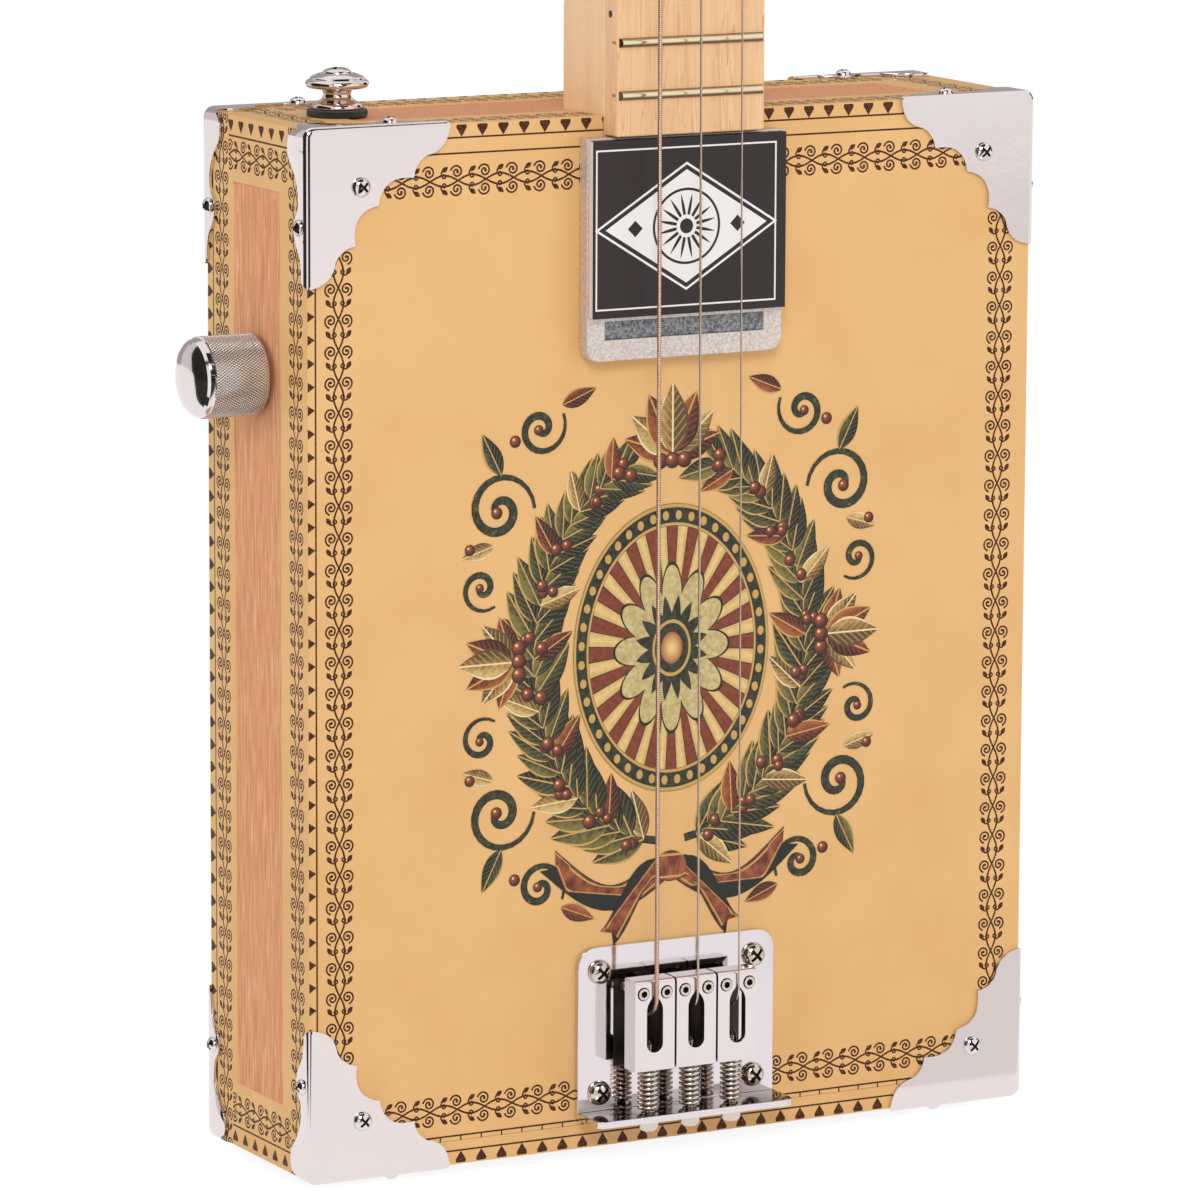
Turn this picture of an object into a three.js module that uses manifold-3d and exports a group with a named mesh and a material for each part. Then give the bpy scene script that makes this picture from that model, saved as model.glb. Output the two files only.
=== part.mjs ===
// Cigar box guitar: a papered wooden box with a neck, three strings, a pickup and a bent steel bridge.
// Millimetres. X runs to the treble side, Y to the back, Z to the headstock.
// The origin is the middle of the bare wood window in the tail wall.
import * as THREE from 'three';
import { mergeVertices } from 'three/addons/utils/BufferGeometryUtils.js';
import Module from 'manifold-3d';

const wasm = await Module();
wasm.setup();

// Clearances shared by the whole guitar
const fitGap = 0.3;
const glueLine = 0.1;
const cutOverrun = 1;
const weldTolerance = 1e-3;

// Sides of round pieces, coarse to fine
const boreSides = 8;
const smallSides = 10;
const middleSides = 12;
const roundSides = 16;
const wideSides = 20;

// Box
const boxWidth = 187;
const boxHeight = 238.5;
const boxDepth = 51.6;
const panelThickness = 3.2;
const wallThickness = 6;
const paperThickness = 0.3;
const windowWidth = 24.1;
const sideWindowMargin = 15;
const endWindowMargin = 19.5;
const backWindowMargin = 42;

// Corner brackets
const bracketSheet = 0.8;
const bracketLeg = 36;
const bracketFlange = 9.2;
const nailInset = 13.8;
const faceNailRadius = 2.3;
const faceNailHeight = 1.5;
const flangeNailAlong = 22.5;
const flangeNailDepth = 3.2;
const flangeNailRadius = 1.9;
const flangeNailHeight = 1.3;

// Neck, fretboard and nut
const scaleLength = 635;
const compensation = 4;
const lastFretClearance = 3;
const neckWidthAtBody = 38.1;
const neckWidthAtNut = 36.4;
const fretboardThickness = 5.9;
const fretInset = 0.5;
const fretWidth = 2.4;
const fretHeight = 1.1;
const fretSink = 0.4;
const heelBelowFace = 20;
const neckBelowFace = 15;
const tenonLength = 88;
const notchBelowEdge = 6.2;
const heelStraight = 23;
const heelCurve = 40;
const neckSideHeight = 3;
const nutThickness = 4;
const nutStringHeight = 7.6;
const nutSlotWidth = 1.7;
const nutSlotDepth = 1.4;
const nutStringPitch = 10.2;

// Headstock and tuners
const headDrop = 3;
const headThickness = 13;
const headLength = 150;
const headHalfWidth = 26;
const headRamp = 16;
const tunerAcross = 15;
const tunerFirst = 36;
const tunerStep = 42;
const postRadius = 3.1;
const postWaistRadius = 2.7;
const postAboveFace = 13;
const wrapTopAboveFace = 8.4;
const wrapTurns = 2;
const wrapGap = 0.45;
const gearRadius = 5.2;
const gearRoot = 4.5;
const gearTeeth = 14;
const gearThickness = 3;
const gearBehindHead = 3;
const wormRadius = 2.2;
const wormLength = 8;
const keyShaftRadius = 1.7;
const housingWall = 1.2;
const housingDepth = 9.5;
const housingPlay = 0.7;
const housingOuter = 27.2;
const keyCollarRadius = 2.8;
const keyCollarLength = 5;
const keyButtonLength = 14;
const keyButtonWidth = 17;
const keyButtonThickness = 6.5;

// Bridge
const bridgeWidth = 51.5;
const bridgeLow = 6.9;
const bridgeHigh = 47;
const bridgeSheet = 1.6;
const bridgeCorner = 5;
const lipHeight = 12.2;
const lipCorner = 2.4;
const bridgeScrewAcross = 20.2;
const bridgeScrewLow = 12.7;
const bridgeScrewHigh = 41.2;
const bridgeScrewRadius = 1.5;
const bridgeScrewLength = 13;
const bridgeScrewHeadRadius = 2.9;
const bridgeScrewHeadHeight = 2.3;
const saddlePitch = 10.85;
const saddleWidth = 10.35;
const saddleBack = 19;
const saddleFront = 40.3;
const saddleTop = 11.2;
const saddleSkirt = 6.1;
const saddleSheet = 1.3;
const saddleNose = 1.2;
const breakShort = 1.2;
const slotLow = 23.2;
const slotHigh = 33;
const slotWidth = 4.2;
const slotNeck = 36;
const slotNeckHalf = 0.8;
const slotTip = 37.1;
const heightScrewAlong = 37.2;
const heightScrewAcross = 3;
const heightScrewRadius = 1.4;
const heightScrewProud = 0.35;
const hexSocketRadius = 0.8;
const hexSocketDepth = 1.3;
const intonationHeight = 8.2;
const intonationRadius = 1.35;
const intonationHeadRadius = 2.4;
const intonationHeadLength = 2.6;
const intonationTip = 25.6;
const threadPlay = 0.2;
const springWire = 0.75;
const springOuterRadius = 2.5;
const springCurls = 7;

// Strings
const stringDiameters = [0.95, 0.56, 0.43];
const stringHole = 1.3;
const stringPlateZ = 30;
const ballRadius = 1.8;

// Bridge block and string anchor
const blockWidth = 60;
const blockLength = 50;
const anchorWidth = 34;
const anchorHeight = 11;
const anchorFlange = 1.2;
const anchorRebate = 2;
const anchorBody = 3;
const ballSeatRadius = 2.3;

// Pickup
const pickupWidth = 50.6;
const pickupLength = 50.7;
const pickupBelowEdge = 4.7;
const pickupCaseThickness = 3.7;
const pickupCoverThickness = 2.3;
const pickupCorner = 3.5;
const coverStep = 10.1;
const coverInset = 0.4;
const barWidth = 41;
const barStep = 4.9;
const barHeight = 4.1;
const barDepth = 0.6;

// Volume control on the bass wall
const volumeBelowEdge = 57.2;
const potRadius = 8.2;
const potDepth = 8;
const bushRadius = 3.5;
const bushProud = 3.6;
const volumeNutRadius = 5.4;
const volumeNutThickness = 2;
const shaftRadius = 3;
const shaftPlay = 0.3;
const shaftProud = 13;
const knobRadius = 9.3;
const knobLength = 17;
const knobSkirtDepth = 5;
const knobSkirtWall = 1.6;
const knobWallGap = 1;

// Output jack on the treble wall
const jackZ = 62;
const jackBarrelRadius = 4.7;
const jackBoreRadius = 3.25;
const jackProud = 3.4;
const jackNutRadius = 7.6;
const jackNutThickness = 2.4;
const jackWasherRadius = 8.6;
const jackWasherThickness = 0.8;
const jackInside = 25;
const jackInsideRadius = 7;

// Strap button on the neck-end wall
const strapFromSide = 20.2;
const feltRadius = 6.9;
const feltThickness = 1.6;
const strapFootRadius = 5.5;
const strapFootHeight = 1.3;
const strapWaistRadius = 3.1;
const strapSeatRadius = 4;
const strapSeatHeight = 4.7;
const strapHeadRadius = 7.2;
const strapHeadHeight = 8;
const strapScrewRadius = 3.4;
const strapScrewTop = 9.4;
const strapShankRadius = 1.6;
const strapShankLength = 12;

// Wiring
const leadRadius = 1.2;
const leadHoleRadius = 1.7;
const leadAcross = 22;
const leadAbovePickupLow = 22;

// Planes worked out from the box
const halfWidth = boxWidth / 2;
const frontFace = -boxDepth / 2;
const backFace = boxDepth / 2;
const innerFront = frontFace + panelThickness;
const innerBack = backFace - panelThickness;
const boxLow = -paperThickness;
const boxHigh = boxLow + boxHeight;
const innerLow = boxLow + wallThickness;
const innerHigh = boxHigh - wallThickness;
const innerSide = halfWidth - wallThickness;
const breakZ = saddleFront - breakShort;
const nutZ = breakZ + compensation + scaleLength;
const headEnd = nutZ + headLength;
const notchLow = boxHigh - notchBelowEdge;
const pickupHigh = boxHigh - pickupBelowEdge;
const pickupLow = pickupHigh - pickupLength;
const coverLow = pickupLow + coverStep;
const barLow = pickupLow + barStep;
const volumeZ = boxHigh - volumeBelowEdge;
const strapX = -halfWidth + strapFromSide;

// y of a point that stands a given height in front of the soundboard
const lift = (height) => frontFace - height;

const materials = {
  paper: new THREE.MeshStandardMaterial({ color: 0xf0c583, roughness: 0.75 }),
  maple: new THREE.MeshStandardMaterial({ color: 0xf0c89b, roughness: 0.45 }),
  block: new THREE.MeshStandardMaterial({ color: 0xc9a070, roughness: 0.7 }),
  bone: new THREE.MeshStandardMaterial({ color: 0xece4d0, roughness: 0.5 }),
  chrome: new THREE.MeshStandardMaterial({ color: 0xd6d6de, roughness: 0.15, metalness: 1 }),
  steel: new THREE.MeshStandardMaterial({ color: 0xb9b4ac, roughness: 0.3, metalness: 1 }),
  wire: new THREE.MeshStandardMaterial({ color: 0xb7a48c, roughness: 0.35, metalness: 1 }),
  felt: new THREE.MeshStandardMaterial({ color: 0x141414, roughness: 0.95 }),
  caseGrey: new THREE.MeshStandardMaterial({ color: 0x9a9895, roughness: 0.6 }),
  card: new THREE.MeshStandardMaterial({ color: 0x231c1c, roughness: 0.7 }),
  plastic: new THREE.MeshStandardMaterial({ color: 0x1c1c1e, roughness: 0.5 }),
};

const guitar = new THREE.Group();

const towardFront = [0, -1, 0];
const towardBack = [0, 1, 0];
const towardBass = [-1, 0, 0];
const towardTreble = [1, 0, 0];
const upward = [0, 0, 1];
const downward = [0, 0, -1];

// Solids and meshes

function bare(geometry) {
  const copy = geometry.clone();
  copy.deleteAttribute('normal');
  copy.deleteAttribute('uv');
  return mergeVertices(copy, weldTolerance);
}

function signedVolume(geometry) {
  const place = geometry.getAttribute('position');
  const corner = [new THREE.Vector3(), new THREE.Vector3(), new THREE.Vector3()];
  let sum = 0;
  for (let i = 0; i < geometry.index.count; i += 3) {
    corner.forEach((point, k) => point.fromBufferAttribute(place, geometry.index.getX(i + k)));
    sum += corner[0].dot(corner[1].cross(corner[2]));
  }
  return sum;
}

function solid(geometry) {
  const welded = bare(geometry);
  const faces = Uint32Array.from(welded.index.array);
  if (signedVolume(welded) < 0) {
    for (let i = 0; i < faces.length; i += 3) [faces[i], faces[i + 1]] = [faces[i + 1], faces[i]];
  }
  const vertices = Float32Array.from(welded.getAttribute('position').array);
  return new wasm.Manifold(new wasm.Mesh({ numProp: 3, vertProperties: vertices, triVerts: faces }));
}

function join(...solids) {
  return solids.reduce((whole, next) => whole.add(next));
}

function cut(body, ...tools) {
  return tools.reduce((rest, tool) => rest.subtract(tool), body);
}

function addNode(name, body, material) {
  const data = body.getMesh();
  const geometry = new THREE.BufferGeometry();
  geometry.setAttribute('position', new THREE.BufferAttribute(new Float32Array(data.vertProperties), 3));
  geometry.setIndex(new THREE.BufferAttribute(new Uint32Array(data.triVerts), 1));
  geometry.computeVertexNormals();
  const mesh = new THREE.Mesh(geometry, material);
  mesh.name = name;
  guitar.add(mesh);
  return mesh;
}

// Outlines drawn in two directions and given a thickness along the third

function polygon(points) {
  return new THREE.Shape(points.map(([a, b]) => new THREE.Vector2(a, b)));
}

function rectangle(aLow, bLow, aHigh, bHigh) {
  return polygon([[aLow, bLow], [aHigh, bLow], [aHigh, bHigh], [aLow, bHigh]]);
}

function extruded(shape, depth, curveSegments) {
  return new THREE.ExtrudeGeometry(shape, { depth, bevelEnabled: false, curveSegments });
}

// outline in x and z, thick in y
function facing(shape, yLow, yHigh, curveSegments = 6) {
  return solid(extruded(shape, yHigh - yLow, curveSegments).rotateX(Math.PI / 2).translate(0, yHigh, 0));
}

// outline in y and z, thick in x
function sideways(shape, xLow, xHigh, curveSegments = 6) {
  const axes = new THREE.Matrix4().makeBasis(
    new THREE.Vector3(0, 1, 0), new THREE.Vector3(0, 0, 1), new THREE.Vector3(1, 0, 0));
  return solid(extruded(shape, xHigh - xLow, curveSegments).applyMatrix4(axes).translate(xLow, 0, 0));
}

// outline in x and y, thick in z
function level(shape, zLow, zHigh, curveSegments = 6) {
  return solid(extruded(shape, zHigh - zLow, curveSegments).translate(0, 0, zLow));
}

function block(low, high) {
  const size = high.map((value, k) => value - low[k]);
  const middle = high.map((value, k) => (value + low[k]) / 2);
  return solid(new THREE.BoxGeometry(...size).translate(...middle));
}

// Round solids: the profile lists radius and distance along the axis from the foot
function turned(profile, foot, axis, sides = roundSides) {
  const points = profile.map(([radius, along]) => new THREE.Vector2(radius, along));
  const geometry = new THREE.LatheGeometry(points, sides);
  const turn = new THREE.Quaternion().setFromUnitVectors(
    new THREE.Vector3(...towardBack), new THREE.Vector3(...axis));
  return solid(geometry.applyQuaternion(turn).translate(...foot));
}

function rod(radius, length, foot, axis, sides = roundSides) {
  return turned([[0, 0], [radius, 0], [radius, length], [0, length]], foot, axis, sides);
}

// A dome-headed nail or screw head that sits on its foot
function dome(radius, height, foot, axis, sides = boreSides) {
  const shoulder_share = 0.35;
  const crown_share = 0.62;
  const dome_share = 0.84;
  const profile = [[0, 0], [radius, 0], [radius, height * shoulder_share],
    [radius * crown_share, height * dome_share], [0, height]];
  return turned(profile, foot, axis, sides);
}

// A path through listed points, one step of the tube for each
class ListedPath extends THREE.Curve {
  constructor(points) {
    super();
    this.points = points;
  }

  getPoint(t, target = new THREE.Vector3()) {
    const place = t * (this.points.length - 1);
    const first = Math.min(Math.floor(place), this.points.length - 2);
    return target.lerpVectors(this.points[first], this.points[first + 1], place - first);
  }

  getPointAt(u, target) {
    return this.getPoint(u, target);
  }

  getTangentAt(u, target = new THREE.Vector3()) {
    const index = Math.round(u * (this.points.length - 1));
    const before = this.points[Math.max(index - 1, 0)];
    const after = this.points[Math.min(index + 1, this.points.length - 1)];
    return target.subVectors(after, before).normalize();
  }

  getSpacedPoints() {
    return this.points.map((point) => point.clone());
  }
}

function tube(points, radius, sides) {
  const section = polygon(Array.from({ length: sides }, (_, k) => {
    const angle = (2 * Math.PI * k) / sides;
    return [radius * Math.cos(angle), radius * Math.sin(angle)];
  }));
  const path = new ListedPath(points);
  const options = { steps: points.length - 1, bevelEnabled: false, extrudePath: path };
  return solid(new THREE.ExtrudeGeometry(section, options));
}

// Least clear distance of a wound tube from itself, one turn or more along
function leastSelfGap(points, diameter, stepsPerTurn) {
  const nearest_share = 0.6;
  let least = Infinity;
  for (let i = 0; i < points.length; i += 1) {
    for (let j = i + Math.ceil(stepsPerTurn * nearest_share); j < points.length; j += 1) {
      least = Math.min(least, points[i].distanceTo(points[j]));
    }
  }
  return least - diameter;
}

// Box: two panels and four walls, papered round bare wood windows

const soundboardOutline = rectangle(-halfWidth, boxLow, halfWidth, boxHigh);
const neckHalf = neckWidthAtBody / 2;
const neckSlot = neckHalf + fitGap;
const stringXs = [-saddlePitch, 0, saddlePitch];
const bridgeScrewPlaces = [-1, 1].flatMap((side) =>
  [bridgeScrewLow, bridgeScrewHigh].map((z) => [side * bridgeScrewAcross, z]));
const leadZ = pickupLow + leadAbovePickupLow;

function stringBores(yLow, yHigh, radius = stringHole) {
  return stringXs.map((x) => rod(radius, yHigh - yLow, [x, yLow, stringPlateZ], towardBack, boreSides));
}

function screwBores(yLow, yHigh) {
  return bridgeScrewPlaces.map(([x, z]) =>
    rod(bridgeScrewRadius + fitGap, yHigh - yLow, [x, yLow, z], towardBack, boreSides));
}

addNode('soundboard', cut(
  facing(soundboardOutline, frontFace, innerFront),
  block([-neckSlot, frontFace - cutOverrun, notchLow],
    [neckSlot, innerFront + cutOverrun, boxHigh + cutOverrun]),
  rod(leadHoleRadius, panelThickness + 2 * cutOverrun, [-leadAcross, frontFace - cutOverrun, leadZ],
    towardBack, boreSides),
  ...stringBores(frontFace - cutOverrun, innerFront + cutOverrun),
  ...screwBores(frontFace - cutOverrun, innerFront + cutOverrun),
), materials.paper);

const anchorHalf = anchorWidth / 2;
const anchorSlot = [anchorHalf - anchorRebate + fitGap, anchorHeight / 2 - anchorRebate + fitGap];
addNode('back_panel', cut(
  facing(soundboardOutline, innerBack, backFace),
  block(
    [-halfWidth + backWindowMargin, backFace - paperThickness, boxLow + backWindowMargin],
    [halfWidth - backWindowMargin, backFace + cutOverrun, boxHigh - backWindowMargin]),
  block(
    [-anchorSlot[0], innerBack - cutOverrun, stringPlateZ - anchorSlot[1]],
    [anchorSlot[0], backFace + cutOverrun, stringPlateZ + anchorSlot[1]]),
), materials.paper);

function sideWall(side) {
  const outer = side * halfWidth;
  const inner = side * innerSide;
  const wall = block(
    [Math.min(outer, inner), innerFront, boxLow], [Math.max(outer, inner), innerBack, boxHigh]);
  const floor = outer - side * paperThickness;
  const beyond = outer + side * cutOverrun;
  const window = block(
    [Math.min(floor, beyond), -windowWidth / 2, boxLow + sideWindowMargin],
    [Math.max(floor, beyond), windowWidth / 2, boxHigh - sideWindowMargin]);
  return cut(wall, window);
}

const boreLength = wallThickness + 2 * cutOverrun;
addNode('wall_bass', cut(
  sideWall(-1),
  rod(bushRadius + fitGap, boreLength, [-innerSide + cutOverrun, 0, volumeZ], towardBass),
), materials.paper);
addNode('wall_treble', cut(
  sideWall(1),
  rod(jackBarrelRadius + fitGap, boreLength, [innerSide - cutOverrun, 0, jackZ], towardTreble),
), materials.paper);

function endWall(face, inner, beyond) {
  const wall = block(
    [-innerSide, innerFront, Math.min(face, inner)], [innerSide, innerBack, Math.max(face, inner)]);
  const floor = face + Math.sign(inner - face) * paperThickness;
  const window = block(
    [-halfWidth + endWindowMargin, -windowWidth / 2, Math.min(floor, beyond)],
    [halfWidth - endWindowMargin, windowWidth / 2, Math.max(floor, beyond)]);
  return cut(wall, window);
}

const heelBack = lift(-heelBelowFace);
addNode('wall_neck_end', cut(
  endWall(boxHigh, innerHigh, boxHigh + cutOverrun),
  block([-neckSlot, innerFront - cutOverrun, innerHigh - cutOverrun],
    [neckSlot, heelBack + fitGap, boxHigh + cutOverrun]),
  rod(strapShankRadius + fitGap, strapShankLength, [strapX, 0, boxHigh + cutOverrun], downward, smallSides),
), materials.paper);
addNode('wall_tail', endWall(boxLow, innerLow, boxLow - cutOverrun), materials.paper);

// Corner brackets: one scalloped plate with two wavy flanges, and three nails each

const scallop_shares = {
  toe: [1, 0],
  toeControl: [0.995, 0.185],
  shoulder: [0.84, 0.208],
  cuspControl: [0.757, 0.25],
  cusp: [0.747, 0.344],
  biteControl: [0.535, 0.31],
  corner: [0.503, 0.503],
};
const flange_shares = [
  [0, 0.6], [0.06, 0.9], [0.13, 1], [0.2, 0.93], [0.28, 0.66], [0.37, 0.46], [0.46, 0.4], [0.53, 0.45],
  [0.585, 0.62], [0.66, 0.66], [0.73, 0.54], [0.81, 0.33], [0.91, 0.24], [0.97, 0.2], [1, 0],
];

function scallopPlate(sx, sz, xCorner, zCorner) {
  const at = ([u, v]) => [xCorner + sx * bracketLeg * u, zCorner + sz * bracketLeg * v];
  const flip = ([u, v]) => [v, u];
  const shape = new THREE.Shape();
  shape.moveTo(...at([0, 0]));
  shape.lineTo(...at(scallop_shares.toe));
  shape.quadraticCurveTo(...at(scallop_shares.toeControl), ...at(scallop_shares.shoulder));
  shape.quadraticCurveTo(...at(scallop_shares.cuspControl), ...at(scallop_shares.cusp));
  shape.quadraticCurveTo(...at(scallop_shares.biteControl), ...at(scallop_shares.corner));
  shape.quadraticCurveTo(...at(flip(scallop_shares.biteControl)), ...at(flip(scallop_shares.cusp)));
  shape.quadraticCurveTo(...at(flip(scallop_shares.cuspControl)), ...at(flip(scallop_shares.shoulder)));
  shape.quadraticCurveTo(...at(flip(scallop_shares.toeControl)), ...at(flip(scallop_shares.toe)));
  shape.closePath();
  return shape;
}

function flangeOutline(yEdge, sy, edge, sAlong) {
  const points = flange_shares.map(([along, deep]) =>
    [yEdge + sy * bracketFlange * deep, edge + sAlong * bracketLeg * along]);
  return polygon([[yEdge, edge], ...points]);
}

function between(a, b) {
  return [Math.min(a, b), Math.max(a, b)];
}

function cornerBracket(sx, sy, sz) {
  const xFace = sx * halfWidth;
  const yFace = sy * boxDepth / 2;
  const zFace = sz > 0 ? boxHigh : boxLow;
  const xOut = xFace + sx * bracketSheet;
  const yOut = yFace + sy * bracketSheet;
  const zOut = zFace + sz * bracketSheet;
  const plate = facing(scallopPlate(-sx, -sz, xOut, zOut), ...between(yFace, yOut), 4);
  const side = sideways(flangeOutline(yOut, -sy, zOut, -sz), ...between(xFace, xOut));
  const swapped = flangeOutline(yOut, -sy, xOut, -sx).getPoints().map((point) => [point.y, point.x]);
  const end = level(polygon(swapped), ...between(zFace, zOut));
  const faceNail = dome(faceNailRadius, faceNailHeight + bracketSheet / 2,
    [xOut - sx * nailInset, yOut - sy * bracketSheet / 2, zOut - sz * nailInset], [0, sy, 0]);
  const sideNail = dome(flangeNailRadius, flangeNailHeight + bracketSheet / 2,
    [xOut - sx * bracketSheet / 2, yOut - sy * flangeNailDepth, zOut - sz * flangeNailAlong], [sx, 0, 0]);
  const endNail = dome(flangeNailRadius, flangeNailHeight + bracketSheet / 2,
    [xOut - sx * flangeNailAlong, yOut - sy * flangeNailDepth, zOut - sz * bracketSheet / 2], [0, 0, sz]);
  return join(plate, side, end, faceNail, sideNail, endNail);
}

for (const [sy, face] of [[-1, 'front'], [1, 'back']]) {
  for (const [sz, end] of [[-1, 'tail'], [1, 'neck']]) {
    for (const [sx, side] of [[-1, 'bass'], [1, 'treble']]) {
      addNode(`bracket_${face}_${end}_${side}`, cornerBracket(sx, sy, sz), materials.chrome);
    }
  }
}

// Neck: tenon under the soundboard, heel, rounded back and dropped headstock in one length of maple

const tenonLow = boxHigh - tenonLength;
const heelTop = boxHigh + heelStraight;
const neckThinFrom = heelTop + heelCurve;
const neckBack = lift(-neckBelowFace);
const headFace = lift(-headDrop);
const headBack = headFace + headThickness;
const rampEnd = nutZ + nutThickness + headRamp;

function neckSideProfile() {
  const shape = new THREE.Shape();
  shape.moveTo(innerFront + glueLine, tenonLow);
  shape.lineTo(innerFront + glueLine, notchLow + fitGap);
  shape.lineTo(frontFace, notchLow + fitGap);
  shape.lineTo(frontFace, nutZ + nutThickness);
  shape.quadraticCurveTo(frontFace, (nutZ + nutThickness + rampEnd) / 2, headFace, rampEnd);
  shape.lineTo(headFace, headEnd);
  shape.lineTo(headBack, headEnd);
  shape.lineTo(headBack, nutZ);
  shape.quadraticCurveTo(neckBack, nutZ - headRamp / 2, neckBack, nutZ - headRamp);
  shape.lineTo(neckBack, neckThinFrom);
  shape.quadraticCurveTo(neckBack, heelTop + heelCurve / 2, heelBack - fitGap, heelTop);
  shape.lineTo(heelBack - fitGap, tenonLow);
  shape.closePath();
  return shape;
}

const nutHalf = neckWidthAtNut / 2;
const paddle_shares = { flareStart: 0.03, flareEnd: 0.22, crownStart: 0.9, crownWidth: 0.82, tipWidth: 0.45 };

function neckFrontOutline() {
  const shape = new THREE.Shape();
  const upper = (share) => nutZ + nutThickness + (headLength - nutThickness) * share;
  const right = (points) => points.forEach(([x, z]) => shape.lineTo(x, z));
  shape.moveTo(neckHalf, tenonLow);
  right([[neckHalf, boxHigh], [nutHalf, nutZ + nutThickness], [nutHalf, upper(paddle_shares.flareStart)]]);
  shape.bezierCurveTo(
    nutHalf, upper(paddle_shares.flareEnd / 2), headHalfWidth, upper(paddle_shares.flareEnd / 2),
    headHalfWidth, upper(paddle_shares.flareEnd));
  shape.lineTo(headHalfWidth * (1 + paddle_shares.crownWidth) / 2, upper(paddle_shares.crownStart));
  shape.quadraticCurveTo(
    headHalfWidth * paddle_shares.crownWidth, upper(1), headHalfWidth * paddle_shares.tipWidth, upper(1));
  shape.lineTo(-headHalfWidth * paddle_shares.tipWidth, upper(1));
  shape.quadraticCurveTo(
    -headHalfWidth * paddle_shares.crownWidth, upper(1),
    -headHalfWidth * (1 + paddle_shares.crownWidth) / 2, upper(paddle_shares.crownStart));
  shape.lineTo(-headHalfWidth, upper(paddle_shares.flareEnd));
  shape.bezierCurveTo(
    -headHalfWidth, upper(paddle_shares.flareEnd / 2), -nutHalf, upper(paddle_shares.flareEnd / 2),
    -nutHalf, upper(paddle_shares.flareStart));
  right([[-nutHalf, nutZ + nutThickness], [-neckHalf, boxHigh], [-neckHalf, tenonLow]]);
  shape.closePath();
  return shape;
}

// What is taken off the back of the neck between heel and headstock
function neckBackWaste() {
  const steps = 16;
  const rise = neckBelowFace - neckSideHeight;
  const arch = Array.from({ length: steps + 1 }, (_, k) => {
    const angle = (Math.PI * k) / steps;
    return [neckHalf * Math.cos(angle), frontFace + neckSideHeight + rise * Math.sin(angle)];
  });
  const beyond = neckHalf + cutOverrun;
  const deep = heelBack + cutOverrun;
  const side = frontFace + neckSideHeight;
  const outline = polygon([...arch, [-beyond, side], [-beyond, deep], [beyond, deep], [beyond, side]]);
  return level(outline, neckThinFrom - heelCurve / 2, nutZ - headRamp / 2);
}

const reach = headHalfWidth + cutOverrun;
const tunerSeats = [
  { name: 1, side: -1, x: -tunerAcross, z: nutZ + tunerFirst },
  { name: 2, side: -1, x: -tunerAcross, z: nutZ + tunerFirst + tunerStep },
  { name: 3, side: 1, x: tunerAcross, z: nutZ + tunerFirst + tunerStep / 2 },
];
const postBores = tunerSeats.map(({ x, z }) =>
  rod(postRadius + fitGap, headThickness + 2 * cutOverrun, [x, headFace - cutOverrun, z],
    towardBack, middleSides));
addNode('neck', cut(
  sideways(neckSideProfile(), -reach, reach, 8)
    .intersect(facing(neckFrontOutline(), frontFace - cutOverrun, headBack + heelBelowFace, 8)),
  neckBackWaste(), ...postBores,
), materials.maple);

const boardLow = pickupHigh + fitGap;
const boardTop = lift(fretboardThickness + glueLine);
const halfWidthAt = (z) => THREE.MathUtils.mapLinear(z, boxHigh, nutZ, neckHalf, nutHalf);
const boardHalfAt = (z) => (z < boxHigh ? neckHalf : halfWidthAt(z));
const boardOutline = polygon([
  [-neckHalf, boardLow], [neckHalf, boardLow], [neckHalf, boxHigh], [nutHalf, nutZ - glueLine],
  [-nutHalf, nutZ - glueLine], [-neckHalf, boxHigh],
]);
const fretZ = (n) => nutZ - scaleLength * (1 - 2 ** (-n / 12));
const roomBelowNut = nutZ - boardLow - lastFretClearance;
const fretCount = Math.floor(-12 * Math.log2(1 - roomBelowNut / scaleLength));

function fretWire(z) {
  const steps = 5;
  const foot = boardTop + fretSink;
  const crown = Array.from({ length: steps + 1 }, (_, k) => {
    const angle = (Math.PI * k) / steps;
    return [boardTop - fretHeight * Math.sin(angle), z + (fretWidth / 2) * Math.cos(angle)];
  });
  const half = boardHalfAt(z) - fretInset;
  return sideways(polygon([[foot, z + fretWidth / 2], ...crown, [foot, z - fretWidth / 2]]), -half, half);
}

const frets = Array.from({ length: fretCount }, (_, k) => fretWire(fretZ(k + 1)));
addNode('fretboard', join(facing(boardOutline, boardTop, frontFace - glueLine), ...frets), materials.maple);

const nutTop = lift(nutStringHeight + nutSlotDepth / 2);
const nutStringXs = [-nutStringPitch, 0, nutStringPitch];
const nutBlank = block([-nutHalf, nutTop, nutZ], [nutHalf, frontFace - glueLine, nutZ + nutThickness]);
const nutSlots = nutStringXs.map((x) => block(
  [x - nutSlotWidth / 2, nutTop - cutOverrun, nutZ - cutOverrun],
  [x + nutSlotWidth / 2, nutTop + nutSlotDepth, nutZ + nutThickness + cutOverrun]));
addNode('nut', cut(nutBlank, ...nutSlots), materials.bone);

// Strap button with its screw, on a felt washer

addNode('strap_button_felt', cut(
  rod(feltRadius, feltThickness, [strapX, 0, boxHigh], upward),
  rod(strapShankRadius + fitGap, feltThickness + 2 * cutOverrun, [strapX, 0, boxHigh - cutOverrun],
    upward, smallSides),
), materials.felt);

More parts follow.
